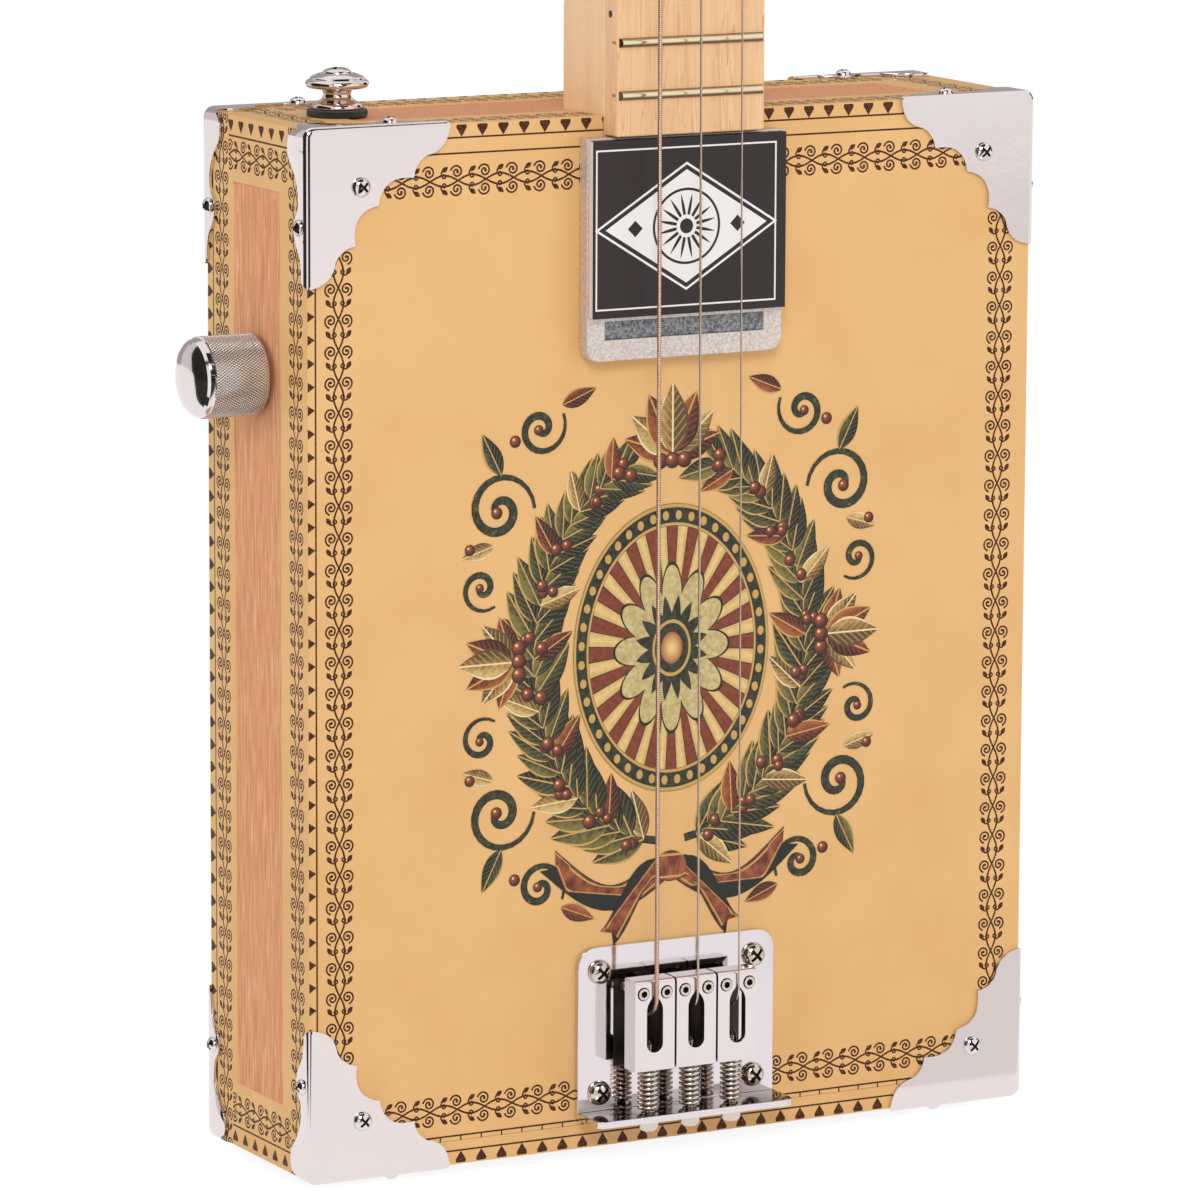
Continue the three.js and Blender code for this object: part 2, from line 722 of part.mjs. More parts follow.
const strapFoot = boxHigh + feltThickness + glueLine;
const strapCrown_share = 0.7;
addNode('strap_button', turned([
  [0, -feltThickness - glueLine - strapShankLength + wallThickness],
  [strapShankRadius, -feltThickness - glueLine - strapShankLength + wallThickness],
  [strapShankRadius, 0],
  [strapFootRadius, 0], [strapFootRadius, strapFootHeight],
  [strapWaistRadius, (strapFootHeight + strapSeatHeight) / 2],
  [strapSeatRadius, strapSeatHeight],
  [strapHeadRadius - fitGap, strapSeatHeight],
  [strapHeadRadius, (strapSeatHeight + strapHeadHeight) / 2],
  [strapScrewRadius, strapHeadHeight],
  [strapScrewRadius * strapCrown_share, (strapHeadHeight + strapScrewTop) / 2 + fitGap],
  [0, strapScrewTop],
], [strapX, 0, strapFoot], upward), materials.chrome);

// Pickup: case with a recessed bar window, and its cover card

function roundedFoot(half, low, high, corner) {
  const shape = new THREE.Shape();
  shape.moveTo(-half + corner, low);
  shape.lineTo(half - corner, low);
  shape.quadraticCurveTo(half, low, half, low + corner);
  shape.lineTo(half, high);
  shape.lineTo(-half, high);
  shape.lineTo(-half, low + corner);
  shape.quadraticCurveTo(-half, low, -half + corner, low);
  return shape;
}

const pickupHalf = pickupWidth / 2;
const caseFace = lift(pickupCaseThickness);
addNode('pickup_case', cut(
  facing(roundedFoot(pickupHalf, pickupLow, pickupHigh, pickupCorner), caseFace, frontFace),
  block([-barWidth / 2, caseFace - cutOverrun, barLow],
    [barWidth / 2, caseFace + barDepth, barLow + barHeight]),
), materials.caseGrey);
addNode('pickup_cover', facing(
  rectangle(-pickupHalf + coverInset, coverLow, pickupHalf - coverInset, pickupHigh - coverInset),
  caseFace - pickupCoverThickness, caseFace), materials.card);

// Bridge plate with its lip, and what it carries

const bridgeHalf = bridgeWidth / 2;
const plateFace = lift(bridgeSheet);

function plateOutline() {
  const shape = new THREE.Shape();
  shape.moveTo(-bridgeHalf, bridgeLow);
  shape.lineTo(bridgeHalf, bridgeLow);
  shape.lineTo(bridgeHalf, bridgeHigh - bridgeCorner);
  shape.quadraticCurveTo(bridgeHalf, bridgeHigh, bridgeHalf - bridgeCorner, bridgeHigh);
  shape.lineTo(-bridgeHalf + bridgeCorner, bridgeHigh);
  shape.quadraticCurveTo(-bridgeHalf, bridgeHigh, -bridgeHalf, bridgeHigh - bridgeCorner);
  return shape;
}

function lipOutline() {
  const tip = lift(lipHeight);
  const shape = new THREE.Shape();
  shape.moveTo(-bridgeHalf, frontFace);
  shape.lineTo(-bridgeHalf, tip + lipCorner);
  shape.quadraticCurveTo(-bridgeHalf, tip, -bridgeHalf + lipCorner, tip);
  shape.lineTo(bridgeHalf - lipCorner, tip);
  shape.quadraticCurveTo(bridgeHalf, tip, bridgeHalf, tip + lipCorner);
  shape.lineTo(bridgeHalf, frontFace);
  return shape;
}

const intonationY = lift(intonationHeight);
const lipInner = bridgeLow + bridgeSheet;
addNode('bridge_plate', cut(
  join(facing(plateOutline(), plateFace, frontFace), level(lipOutline(), bridgeLow, lipInner)),
  ...stringBores(plateFace - cutOverrun, frontFace + cutOverrun),
  ...screwBores(plateFace - cutOverrun, frontFace + cutOverrun),
  ...stringXs.map((x) => rod(intonationRadius + fitGap, bridgeSheet + 2 * cutOverrun,
    [x, intonationY, bridgeLow - cutOverrun], upward, middleSides)),
), materials.chrome);

bridgeScrewPlaces.forEach(([x, z], k) => {
  const seat = plateFace - glueLine;
  const screw = join(
    dome(bridgeScrewHeadRadius, bridgeScrewHeadHeight, [x, seat, z], towardFront, middleSides),
    rod(bridgeScrewRadius, bridgeScrewLength + cutOverrun, [x, seat - cutOverrun, z], towardBack, boreSides));
  addNode(`bridge_screw_${k + 1}`, screw, materials.steel);
});

function saddleProfile() {
  const top = lift(saddleTop);
  const shape = new THREE.Shape();
  shape.moveTo(lift(saddleSkirt), saddleBack);
  shape.lineTo(top, saddleBack);
  shape.lineTo(top, saddleFront - saddleNose);
  shape.quadraticCurveTo(top, saddleFront, top + saddleNose, saddleFront);
  shape.lineTo(lift(saddleSkirt), saddleFront);
  return shape;
}

function slotOutline(x) {
  const half = slotWidth / 2;
  const shape = new THREE.Shape();
  shape.moveTo(x - half, slotLow + half);
  shape.absarc(x, slotLow + half, half, Math.PI, 2 * Math.PI);
  shape.lineTo(x + half, slotHigh);
  shape.quadraticCurveTo(x + half, (slotHigh + slotNeck) / 2, x + slotNeckHalf, slotNeck);
  shape.lineTo(x, slotTip);
  shape.lineTo(x - slotNeckHalf, slotNeck);
  shape.quadraticCurveTo(x - half, (slotHigh + slotNeck) / 2, x - half, slotHigh);
  return shape;
}

function saddle(x) {
  const half = saddleWidth / 2;
  const top = lift(saddleTop);
  const hollow = block(
    [x - half + saddleSheet, top + saddleSheet, saddleBack + saddleSheet],
    [x + half - saddleSheet, lift(saddleSkirt) + cutOverrun, saddleFront - saddleSheet]);
  const slot = facing(slotOutline(x), top - cutOverrun, top + saddleSheet + cutOverrun, 5);
  const depth = saddleTop - saddleSkirt + 2 * cutOverrun;
  const grubs = [-1, 1].map((side) => rod(heightScrewRadius + threadPlay, depth,
    [x + side * heightScrewAcross, top - cutOverrun, heightScrewAlong], towardBack, middleSides));
  const thread = rod(intonationRadius + threadPlay, saddleSheet + 2 * cutOverrun,
    [x, intonationY, saddleBack - cutOverrun], upward, middleSides);
  return cut(sideways(saddleProfile(), x - half, x + half, 4), hollow, slot, ...grubs, thread);
}

function intonationScrew(x) {
  const foot = bridgeLow - glueLine - intonationHeadLength;
  const reachUp = intonationTip - foot;
  const rim_share = 0.8;
  return turned([
    [0, 0], [intonationHeadRadius * rim_share, 0], [intonationHeadRadius, intonationHeadLength / 2],
    [intonationHeadRadius, intonationHeadLength],
    [intonationRadius, intonationHeadLength], [intonationRadius, reachUp - intonationRadius],
    [intonationRadius / 2, reachUp], [0, reachUp],
  ], [x, intonationY, foot], upward, middleSides);
}

function springPath(x) {
  const stepsPerCurl = 8;
  const radius = springOuterRadius - springWire / 2;
  const low = lipInner + fitGap;
  const high = saddleBack - fitGap;
  const from = low + springWire;
  const climb = high - springWire - from;
  const steps = springCurls * stepsPerCurl;
  const at = (angle, z) => new THREE.Vector3(
    x + radius * Math.cos(angle), intonationY + radius * Math.sin(angle), z);
  const turns = Array.from({ length: steps + 1 }, (_, k) =>
    at((2 * Math.PI * k) / stepsPerCurl, from + (climb * k) / steps));
  return [at(0, low), ...turns, at(0, high)];
}

function heightScrew(x) {
  const foot = plateFace - fitGap;
  const top = lift(saddleTop + heightScrewProud);
  const body = rod(heightScrewRadius, foot - top, [x, foot, heightScrewAlong], towardFront, smallSides);
  const socket = rod(hexSocketRadius, hexSocketDepth + cutOverrun,
    [x, top - cutOverrun, heightScrewAlong], towardBack, 6);
  return cut(body, socket);
}

stringXs.forEach((x, k) => {
  const number = k + 1;
  const spring = springPath(x);
  console.log(`spring ${number} self gap ${leastSelfGap(spring, springWire, 8).toFixed(2)} mm`);
  addNode(`saddle_${number}`, saddle(x), materials.chrome);
  addNode(`intonation_screw_${number}`, intonationScrew(x), materials.steel);
  addNode(`intonation_spring_${number}`, tube(spring, springWire / 2, 5), materials.steel);
  addNode(`height_screw_${number}_bass`, heightScrew(x - heightScrewAcross), materials.steel);
  addNode(`height_screw_${number}_treble`, heightScrew(x + heightScrewAcross), materials.steel);
});

// Bridge block between the panels, and the string anchor let into the back panel

const blockLow = innerLow + glueLine;
addNode('bridge_block', cut(
  block([-blockWidth / 2, innerFront + glueLine, blockLow],
    [blockWidth / 2, innerBack - glueLine, blockLow + blockLength]),
  ...stringBores(innerFront - cutOverrun, innerBack + cutOverrun),
  ...screwBores(innerFront - cutOverrun, plateFace + bridgeScrewLength + fitGap),
), materials.block);

const anchorFoot = innerBack + fitGap;
addNode('string_anchor', cut(
  join(
    block([-anchorHalf, backFace + glueLine, stringPlateZ - anchorHeight / 2],
      [anchorHalf, backFace + glueLine + anchorFlange, stringPlateZ + anchorHeight / 2]),
    block([-anchorSlot[0] + fitGap, anchorFoot, stringPlateZ - anchorSlot[1] + fitGap], [
      anchorSlot[0] - fitGap, backFace + glueLine + anchorFlange / 2,
      stringPlateZ + anchorSlot[1] - fitGap])),
  ...stringBores(anchorFoot - cutOverrun, backFace + anchorFlange + cutOverrun, stringHole / 2 + fitGap),
  ...stringBores(backFace + anchorFlange - anchorBody, backFace + anchorFlange + cutOverrun, ballSeatRadius),
), materials.chrome);

// Tuners: housing with a worm inside, post with its gear, and the key that turns the worm

const wormOffset = gearRadius + wormRadius + fitGap;
const gearNear = headBack + gearBehindHead;
const gearFar = gearNear + gearThickness;
const wormY = gearFar - gearThickness / 2;

function gearOutline(x, z) {
  const pitchAngle = (2 * Math.PI) / gearTeeth;
  const corners = Array.from({ length: gearTeeth }, (_, k) => [
    [gearRoot, k * pitchAngle], [gearRadius, (k + 0.5) * pitchAngle],
  ]).flat();
  return polygon(corners.map(([radius, angle]) =>
    [x + radius * Math.cos(angle), z + radius * Math.sin(angle)]));
}

function tunerPost({ x, z }) {
  const rise = postAboveFace + headThickness;
  const waistLow = headThickness + headDrop;
  const waistHigh = headThickness + wrapTopAboveFace + fitGap;
  const post = turned([
    [0, headBack - gearFar], [postRadius, headBack - gearFar], [postRadius, waistLow],
    [postWaistRadius, waistLow + fitGap],
    [postWaistRadius, waistHigh], [postRadius, waistHigh + fitGap], [postRadius, rise - fitGap],
    [postWaistRadius, rise], [0, rise],
  ], [x, headBack, z], towardFront, middleSides);
  return join(post, facing(gearOutline(x, z), gearNear, gearFar));
}

function tunerHousing({ side, x, z }) {
  const inner = Math.abs(x) - gearRadius - housingPlay;
  const low = z - gearRadius - housingPlay;
  const high = z + wormOffset + wormRadius + housingPlay;
  const far = headBack + housingDepth;
  const place = (near, away, y0, y1, z0, z1) => {
    const [x0, x1] = between(side * near, side * away);
    return block([x0, y0, z0], [x1, y1, z1]);
  };
  return cut(
    place(inner - housingWall, housingOuter, headBack + glueLine, far, low - housingWall, high + housingWall),
    place(inner, housingOuter - housingWall, headBack - cutOverrun, far - housingWall, low, high),
    rod(keyShaftRadius + fitGap, housingWall + 2 * cutOverrun,
      [side * (housingOuter - housingWall - cutOverrun), wormY, z + wormOffset], [side, 0, 0], middleSides));
}

function tunerKey({ side, x, z }) {
  const wormStart = Math.abs(x) - wormLength / 2;
  const at = (distance) => distance - wormStart;
  const shoulder = at(housingOuter) + fitGap;
  const taper_share = 0.75;
  const shaft = turned([
    [0, 0], [wormRadius, 0], [wormRadius, wormLength], [keyShaftRadius, wormLength],
    [keyShaftRadius, shoulder], [keyCollarRadius, shoulder],
    [keyCollarRadius * taper_share, shoulder + keyCollarLength], [0, shoulder + keyCollarLength],
  ], [side * wormStart, wormY, z + wormOffset], [side, 0, 0], middleSides);
  const start = housingOuter + fitGap + keyCollarLength - fitGap;
  const button = new THREE.Shape();
  button.absellipse(side * (start + keyButtonLength / 2), z + wormOffset,
    keyButtonLength / 2, keyButtonWidth / 2, 0, 2 * Math.PI);
  return join(shaft, facing(button, wormY - keyButtonThickness / 2, wormY + keyButtonThickness / 2, 10));
}

for (const seat of tunerSeats) {
  addNode(`tuner_housing_${seat.name}`, tunerHousing(seat), materials.chrome);
  addNode(`tuner_post_${seat.name}`, tunerPost(seat), materials.chrome);
  addNode(`tuner_key_${seat.name}`, tunerKey(seat), materials.chrome);
}

// Strings: ball end in the anchor, through bridge block and plate, over the saddle and nut, round the post

function stringPath(k) {
  const radius = stringDiameters[k] / 2;
  const x = stringXs[k];
  const seat = tunerSeats[k];
  const onSaddle = lift(saddleTop + fitGap + radius);
  const ballY = backFace + anchorFlange - anchorBody + ballRadius + fitGap;
  const nutX = nutStringXs[k];
  const nutY = lift(nutStringHeight + radius);
  const nutEnd = new THREE.Vector3(nutX, nutY, nutZ + nutThickness);
  const points = [
    new THREE.Vector3(x, ballY, stringPlateZ),
    new THREE.Vector3(x, plateFace, stringPlateZ),
    new THREE.Vector3(x, onSaddle + radius, slotHigh - fitGap - radius - fitGap),
    new THREE.Vector3(x, onSaddle, slotHigh),
    new THREE.Vector3(x, onSaddle, breakZ),
    new THREE.Vector3(nutX, nutY, nutZ),
    nutEnd,
  ];
  const coil = postWaistRadius + fitGap + radius;
  const toward = Math.atan2(nutEnd.z - seat.z, nutX - seat.x);
  const away = Math.hypot(nutX - seat.x, nutEnd.z - seat.z);
  const inward = -seat.side;
  const start = toward + inward * Math.acos(coil / away);
  const stepsPerTurn = 24;
  const drop = stringDiameters[k] + wrapGap;
  const steps = stepsPerTurn * wrapTurns;
  const topY = headFace - wrapTopAboveFace + radius + fitGap;
  const at = (angle, y) =>
    new THREE.Vector3(seat.x + coil * Math.cos(angle), y, seat.z + coil * Math.sin(angle));
  const wraps = Array.from({ length: steps + 1 }, (_, n) =>
    at(start + (inward * 2 * Math.PI * n) / stepsPerTurn, topY + (drop * n) / stepsPerTurn));
  const selfGap = leastSelfGap(wraps, stringDiameters[k], stepsPerTurn);
  console.log(`string ${k + 1} self gap ${selfGap.toFixed(2)} mm`);
  return [...points, ...wraps];
}

stringXs.forEach((x, k) => {
  const ballY = backFace + anchorFlange - anchorBody + ballRadius + fitGap;
  const ball = solid(new THREE.SphereGeometry(ballRadius, 10, 6).translate(x, ballY, stringPlateZ));
  addNode(`string_${k + 1}`, join(tube(stringPath(k), stringDiameters[k] / 2, 6), ball), materials.wire);
});

// Volume control: pot behind the bass wall with its bush and nut, shaft and knob

const potFace = innerSide - glueLine;
addNode('volume_pot', turned([
  [0, -potDepth], [potRadius, -potDepth], [potRadius, 0], [bushRadius, 0],
  [bushRadius, glueLine + wallThickness + glueLine], [volumeNutRadius, glueLine + wallThickness + glueLine],
  [volumeNutRadius, glueLine + wallThickness + glueLine + volumeNutThickness],
  [bushRadius, glueLine + wallThickness + glueLine + volumeNutThickness],
  [bushRadius, glueLine + wallThickness + bushProud],
  [shaftRadius + shaftPlay, glueLine + wallThickness + bushProud],
  [shaftRadius + shaftPlay, -potDepth / 2], [0, -potDepth / 2],
], [-potFace, 0, volumeZ], towardBass), materials.steel);

const shaftFoot = -potDepth / 2 + fitGap;
const shaftEnd = glueLine + wallThickness + knobWallGap + shaftProud;
addNode('volume_shaft', rod(shaftRadius, shaftEnd - shaftFoot,
  [-potFace - shaftFoot, 0, volumeZ], towardBass, middleSides), materials.steel);

const knobFoot = glueLine + wallThickness + knobWallGap;
const knobBore = shaftRadius + fitGap;
const knob_shares = [[1, 0.8], [0.95, 0.87], [0.66, 0.97]];
addNode('volume_knob', turned([
  [knobRadius - knobSkirtWall, 0], [knobRadius, 0],
  ...knob_shares.map(([across, along]) => [knobRadius * across, knobLength * along]), [0, knobLength],
  [0, shaftEnd - knobFoot + fitGap], [knobBore, shaftEnd - knobFoot + fitGap],
  [knobBore, knobSkirtDepth], [knobRadius - knobSkirtWall, knobSkirtDepth],
  [knobRadius - knobSkirtWall, 0],
], [-potFace - knobFoot, 0, volumeZ], towardBass, wideSides), materials.chrome);

// Output jack with its washer and nut, on the treble wall

const jackWall = glueLine + wallThickness + glueLine;
addNode('output_jack', cut(
  join(
    turned([
      [0, -jackInside], [jackInsideRadius, -jackInside], [jackInsideRadius, 0], [jackBarrelRadius, 0],
      [jackBarrelRadius, jackWall], [jackWasherRadius, jackWall],
      [jackWasherRadius, jackWall + jackWasherThickness],
      [jackBarrelRadius, jackWall + jackWasherThickness], [jackBarrelRadius, jackWall + jackProud],
      [0, jackWall + jackProud],
    ], [potFace, 0, jackZ], towardTreble),
    rod(jackNutRadius, jackNutThickness + jackWasherThickness / 2,
      [potFace + jackWall + jackWasherThickness / 2, 0, jackZ], towardTreble, 6)),
  rod(jackBoreRadius, jackInside + jackWall + jackProud,
    [potFace - jackInside + housingWall, 0, jackZ], towardTreble),
), materials.steel);

// Leads: one harness from the pickup to the pot and on to the jack

const potBack = -potFace + potDepth;
const slack_share = 0.4;
const harness = new THREE.CatmullRomCurve3([
  new THREE.Vector3(-leadAcross, frontFace + fitGap, leadZ),
  new THREE.Vector3(-leadAcross, innerFront, leadZ),
  new THREE.Vector3(-leadAcross - leadRadius, 0, leadZ - leadRadius),
  new THREE.Vector3((potBack - leadAcross) / 2, potRadius, volumeZ),
  new THREE.Vector3(potBack + leadRadius + fitGap, potRadius / 2, volumeZ),
  new THREE.Vector3((potBack - leadAcross) / 2, heelBack + potRadius, (volumeZ + jackZ) / 2),
  new THREE.Vector3(0, heelBack + potRadius, jackZ + blockLength),
  new THREE.Vector3((potFace - jackInside) / 2, potRadius, jackZ),
  new THREE.Vector3(potFace - jackInside - fitGap, 0, jackZ),
], false, 'catmullrom', slack_share);
addNode('wiring_harness', tube(harness.getSpacedPoints(32), leadRadius, 6), materials.plastic);

export default guitar;
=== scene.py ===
import math
import random

import bpy
from mathutils import Matrix, Vector


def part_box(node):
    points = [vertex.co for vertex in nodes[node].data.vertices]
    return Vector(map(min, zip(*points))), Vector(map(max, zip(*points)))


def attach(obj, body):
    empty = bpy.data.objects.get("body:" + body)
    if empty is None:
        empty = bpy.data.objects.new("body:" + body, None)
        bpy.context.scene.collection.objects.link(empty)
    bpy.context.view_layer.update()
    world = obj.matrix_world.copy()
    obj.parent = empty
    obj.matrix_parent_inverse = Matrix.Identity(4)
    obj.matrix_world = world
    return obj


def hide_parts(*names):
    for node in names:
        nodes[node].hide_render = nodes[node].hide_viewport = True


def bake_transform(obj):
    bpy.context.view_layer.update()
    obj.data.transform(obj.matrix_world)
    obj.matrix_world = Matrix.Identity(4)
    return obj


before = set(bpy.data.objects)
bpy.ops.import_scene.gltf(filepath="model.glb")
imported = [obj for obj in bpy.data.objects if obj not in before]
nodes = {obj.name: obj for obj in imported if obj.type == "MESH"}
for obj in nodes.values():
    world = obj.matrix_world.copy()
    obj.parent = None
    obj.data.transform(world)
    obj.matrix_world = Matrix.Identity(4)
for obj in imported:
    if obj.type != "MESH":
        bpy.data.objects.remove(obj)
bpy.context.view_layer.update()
MM = 0.001


# Papered box: six wooden panels glued up into a box and covered with cream paper.
# Brown borders are printed on the paper, and a window of bare reddish wood is left in each wall.

def rgb(red, green, blue):
    """An 8-bit screen colour as the linear colour that a shader takes."""
    linear = [((c / 255 + 0.055) / 1.055) ** 2.4 if c > 10 else c / 255 / 12.92 for c in (red, green, blue)]
    return (*linear, 1.0)


class Tree:
    """Short ways to add nodes to one shader tree."""

    def __init__(self, tree):
        self.nodes = tree.nodes
        self.links = tree.links

    def put(self, socket, value):
        if isinstance(value, bpy.types.NodeSocket):
            self.links.new(value, socket)
        elif value is not None:
            socket.default_value = value

    def add(self, kind, inputs=None, **settings):
        node = self.nodes.new("ShaderNode" + kind)
        for name, value in settings.items():
            setattr(node, name, value)
        for key, value in (inputs or {}).items():
            self.put(node.inputs[key], value)
        return node

    def calc(self, operation, *values):
        node = self.add("Math", operation=operation)
        for socket, value in zip(node.inputs, values):
            self.put(socket, value)
        return node.outputs[0]

    def any(self, *masks):
        result = masks[0]
        for mask in masks[1:]:
            result = self.calc("MAXIMUM", result, mask)
        return result

    def all(self, *masks):
        result = masks[0]
        for mask in masks[1:]:
            result = self.calc("MULTIPLY", result, mask)
        return result

    def plus(self, first, second):
        return self.calc("ADD", first, second)

    def minus(self, first, second):
        return self.calc("SUBTRACT", first, second)

    def times(self, first, second):
        return self.calc("MULTIPLY", first, second)

    def over(self, first, second):
        return self.calc("DIVIDE", first, second)

    def size(self, value):
        return self.calc("ABSOLUTE", value)

    def off(self, value, middle):
        """How far a value is from a middle, on either side."""
        return self.size(self.minus(value, middle))

    def length(self, first, second):
        return self.calc("SQRT", self.plus(self.times(first, first), self.times(second, second)))

    def below(self, value, limit):
        return self.calc("LESS_THAN", value, limit)

    def above(self, value, limit):
        return self.calc("GREATER_THAN", value, limit)

    def pick(self, mask, no, yes):
        return self.add("Mix", {0: mask, 2: no, 3: yes}, data_type="FLOAT").outputs[0]

    def blend(self, factor, low, high):
        return self.add("Mix", {0: factor, 6: low, 7: high}, data_type="RGBA").outputs[2]

    def rescale(self, value, low, high, to_low=0.0, to_high=1.0):
        return self.add("MapRange", {"Value": value, "From Min": low, "From Max": high,
                                     "To Min": to_low, "To Max": to_high}).outputs["Result"]

    def noise(self, vector, scale, detail=2.0, roughness=0.5):
        return self.add("TexNoise", {"Vector": vector, "Scale": scale, "Detail": detail,
                                     "Roughness": roughness}).outputs["Fac"]

    def stretched(self, vector, scale):
        return self.add("Mapping", {"Vector": vector, "Scale": scale}).outputs["Vector"]

    def place_mm(self):
        """The point on the piece, in millimetres."""
        place = self.add("TexCoord").outputs["Object"]
        return self.add("VectorMath", {0: place, "Scale": 1000.0}, operation="SCALE").outputs[0]

    def split(self, vector):
        return self.add("SeparateXYZ", {0: vector}).outputs

    def facing(self):
        """The way that the surface faces, from -1 to 1 along each axis."""
        return self.split(self.add("TexCoord").outputs["Normal"])

    def use(self, group, **inputs):
        node = self.nodes.new("ShaderNodeGroup")
        node.node_tree = group
        for name, value in inputs.items():
            self.put(node.inputs[name], value)
        return node.outputs


def new_group(name, inputs, outputs):
    """An empty node group; inputs are names, or pairs of a name and a kind of socket."""
    tree = bpy.data.node_groups.new(name, "ShaderNodeTree")
    for way, sockets in (("INPUT", inputs), ("OUTPUT", outputs)):
        for socket in sockets:
            label, kind = socket if isinstance(socket, tuple) else (socket, "Float")
            tree.interface.new_socket(name=label, in_out=way, socket_type="NodeSocket" + kind)
    maker = Tree(tree)
    return tree, maker, tree.nodes.new("NodeGroupInput").outputs, tree.nodes.new("NodeGroupOutput").inputs


def new_material(name, roughness=0.5, metallic=0.0, color=None, **more):
    """A material, its node maker and its shader's inputs."""
    made = bpy.data.materials.new(name)
    made.use_nodes = True
    shader = made.node_tree.nodes["Principled BSDF"].inputs
    maker = Tree(made.node_tree)
    maker.put(shader["Roughness"], roughness)
    maker.put(shader["Metallic"], metallic)
    maker.put(shader["Base Color"], color)
    for label, value in more.items():
        shader[label.replace("_", " ")].default_value = value
    return made, maker, shader


def bump(maker, shader, height, strength, depth=0.0001):
    """Fine relief on a material: depth is in metres."""
    node = maker.add("Bump", {"Height": height, "Strength": strength, "Distance": depth})
    maker.links.new(node.outputs["Normal"], shader["Normal"])


def distance(maker, first, second, at_first, at_second):
    return maker.length(maker.minus(first, at_first), maker.minus(second, at_second))


# The vine: two strands that cross each period, with a spiral on both sides of every crossing,
# and between crossings a small ring with a stem and a leaf on each strand. All in millimetres.
vine_period, strand_swing, strand_half = 7.0, 1.22, 0.25
spiral_back, spiral_out, spiral_reach, spiral_pitch, spiral_half = 0.35, 1.95, 1.56, 0.84, 0.225
spiral_start, spiral_end, eye_across, eye_radius = 0.03, 1.4, 0.22, 0.36
ring_out, ring_radius, ring_half = 1.02, 0.42, 0.2
stem_at, stem_out, stem_radius, stem_half = 0.25, 1.6, 0.95, 0.21
leaf_at, leaf_out, leaf_lean_long, leaf_lean_side, leaf_thick = 0.15, 2.55, 0.82, 0.57, 0.56
vine_tree, t, given, gives = new_group("Vine border", ["Along", "Across"], ["Ink"])
side = t.size(given["Across"])
along = t.calc("FLOORED_MODULO", given["Along"], vine_period)
near = t.minus(t.calc("FLOORED_MODULO", t.plus(along, vine_period / 2), vine_period), vine_period / 2)
wave = t.times(t.calc("SINE", t.times(along, math.pi / vine_period)), strand_swing)
strand = t.below(t.off(side, wave), strand_half)
# the spiral: the turns that a point's distance gives, against those that its angle gives
down, out = t.plus(near, spiral_back), t.minus(side, spiral_out)
radius = t.length(down, out)
turn = t.calc("FRACT", t.plus(t.over(t.calc("ARCTAN2", out, t.times(down, -1.0)), 2 * math.pi), 1.0))
arm = t.over(t.minus(spiral_reach, radius), spiral_pitch)
turns = t.plus(t.calc("ROUND", t.minus(arm, turn)), turn)
spiral = t.all(t.below(t.off(arm, turns), spiral_half / spiral_pitch),
               t.above(turns, spiral_start), t.below(turns, spiral_end))
eye = t.below(distance(t, down, out, eye_across, 0.0), eye_radius)
mid = t.minus(along, vine_period / 2)
ring = t.below(t.off(distance(t, mid, side, 0.0, ring_out), ring_radius), ring_half)
stem = t.all(t.below(t.off(distance(t, mid, side, stem_at, stem_out), stem_radius), stem_half),
             t.below(mid, -0.25), t.above(side, 1.15))
leaf_x, leaf_z = t.minus(mid, leaf_at), t.minus(side, leaf_out)
leaf_along = t.plus(t.times(leaf_x, leaf_lean_long), t.times(leaf_z, leaf_lean_side))
leaf_across = t.minus(t.times(leaf_z, leaf_lean_long), t.times(leaf_x, leaf_lean_side))
leaf_half = t.times(t.minus(1.0, t.times(leaf_along, leaf_along)), leaf_thick)
leaf = t.below(t.size(leaf_across), leaf_half)
t.put(gives["Ink"], t.any(strand, spiral, eye, ring, stem, leaf))

# The gem row: one pointed gem each pitch. Height runs from the tip line to the base.
gem_pitch, gem_half, gem_tall = 5.25, 1.3, 2.7
tip_half, tip_slope, base_half, base_slope = 0.04, 1.75, 2.55, 1.4
gem_tree, t, given, gives = new_group("Gem border", ["Along", "Height", "Tall"], ["Ink"])
gem_along = t.off(t.calc("FLOORED_MODULO", given["Along"], gem_pitch), gem_pitch / 2)
share = t.over(given["Height"], given["Tall"])
flank = t.calc("MINIMUM", t.plus(t.times(share, tip_slope), tip_half),
               t.minus(base_half, t.times(share, base_slope)))
gem = t.below(gem_along, t.calc("MINIMUM", flank, gem_half))
t.put(gives["Ink"], t.all(gem, t.above(share, 0.0), t.below(share, 1.0)))

# The print as a whole: each face of the box has its own bands, measured in from its edges.
box_half, box_low, box_high, box_front, box_back = 93.5, -0.3, 238.2, -25.8, 25.8
window_half, side_margin, end_margin, back_margin, window_slack = 12.05, 15.0, 19.5, 42.0, 0.02
line_half, skin, faces_so = 0.21, 0.3, 0.6
print_tree, t, given, gives = new_group(
    "Box print", [("Place", "Vector"), ("Facing", "Vector")], ["Ink", "Window"])
x, y, z = t.split(given["Place"])
facing = t.split(given["Facing"])
on_side = t.above(t.size(facing[0]), faces_so)
on_end = t.above(t.size(facing[2]), faces_so)
on_back = t.above(facing[1], faces_so)
from_side = t.minus(box_half, t.size(x))
from_top = t.minus(box_high, z)
from_low = t.minus(z, box_low)
from_end = t.calc("MINIMUM", from_top, from_low)
from_front = t.minus(y, box_front)
from_back = t.minus(box_back, y)


def line_at(value, at, half=line_half):
    return t.below(t.off(value, at), half)


# Front: bands down both sides, which stop where bands with more lines run along the top and the foot
left = t.plus(x, box_half)
front_side_vine, front_end_vine = 7.7, 12.8
in_end = t.below(t.minus(from_end, front_end_vine - front_side_vine), from_side)
front_side = t.minus(from_side, front_side_vine)
front_end = t.minus(from_end, front_end_vine)
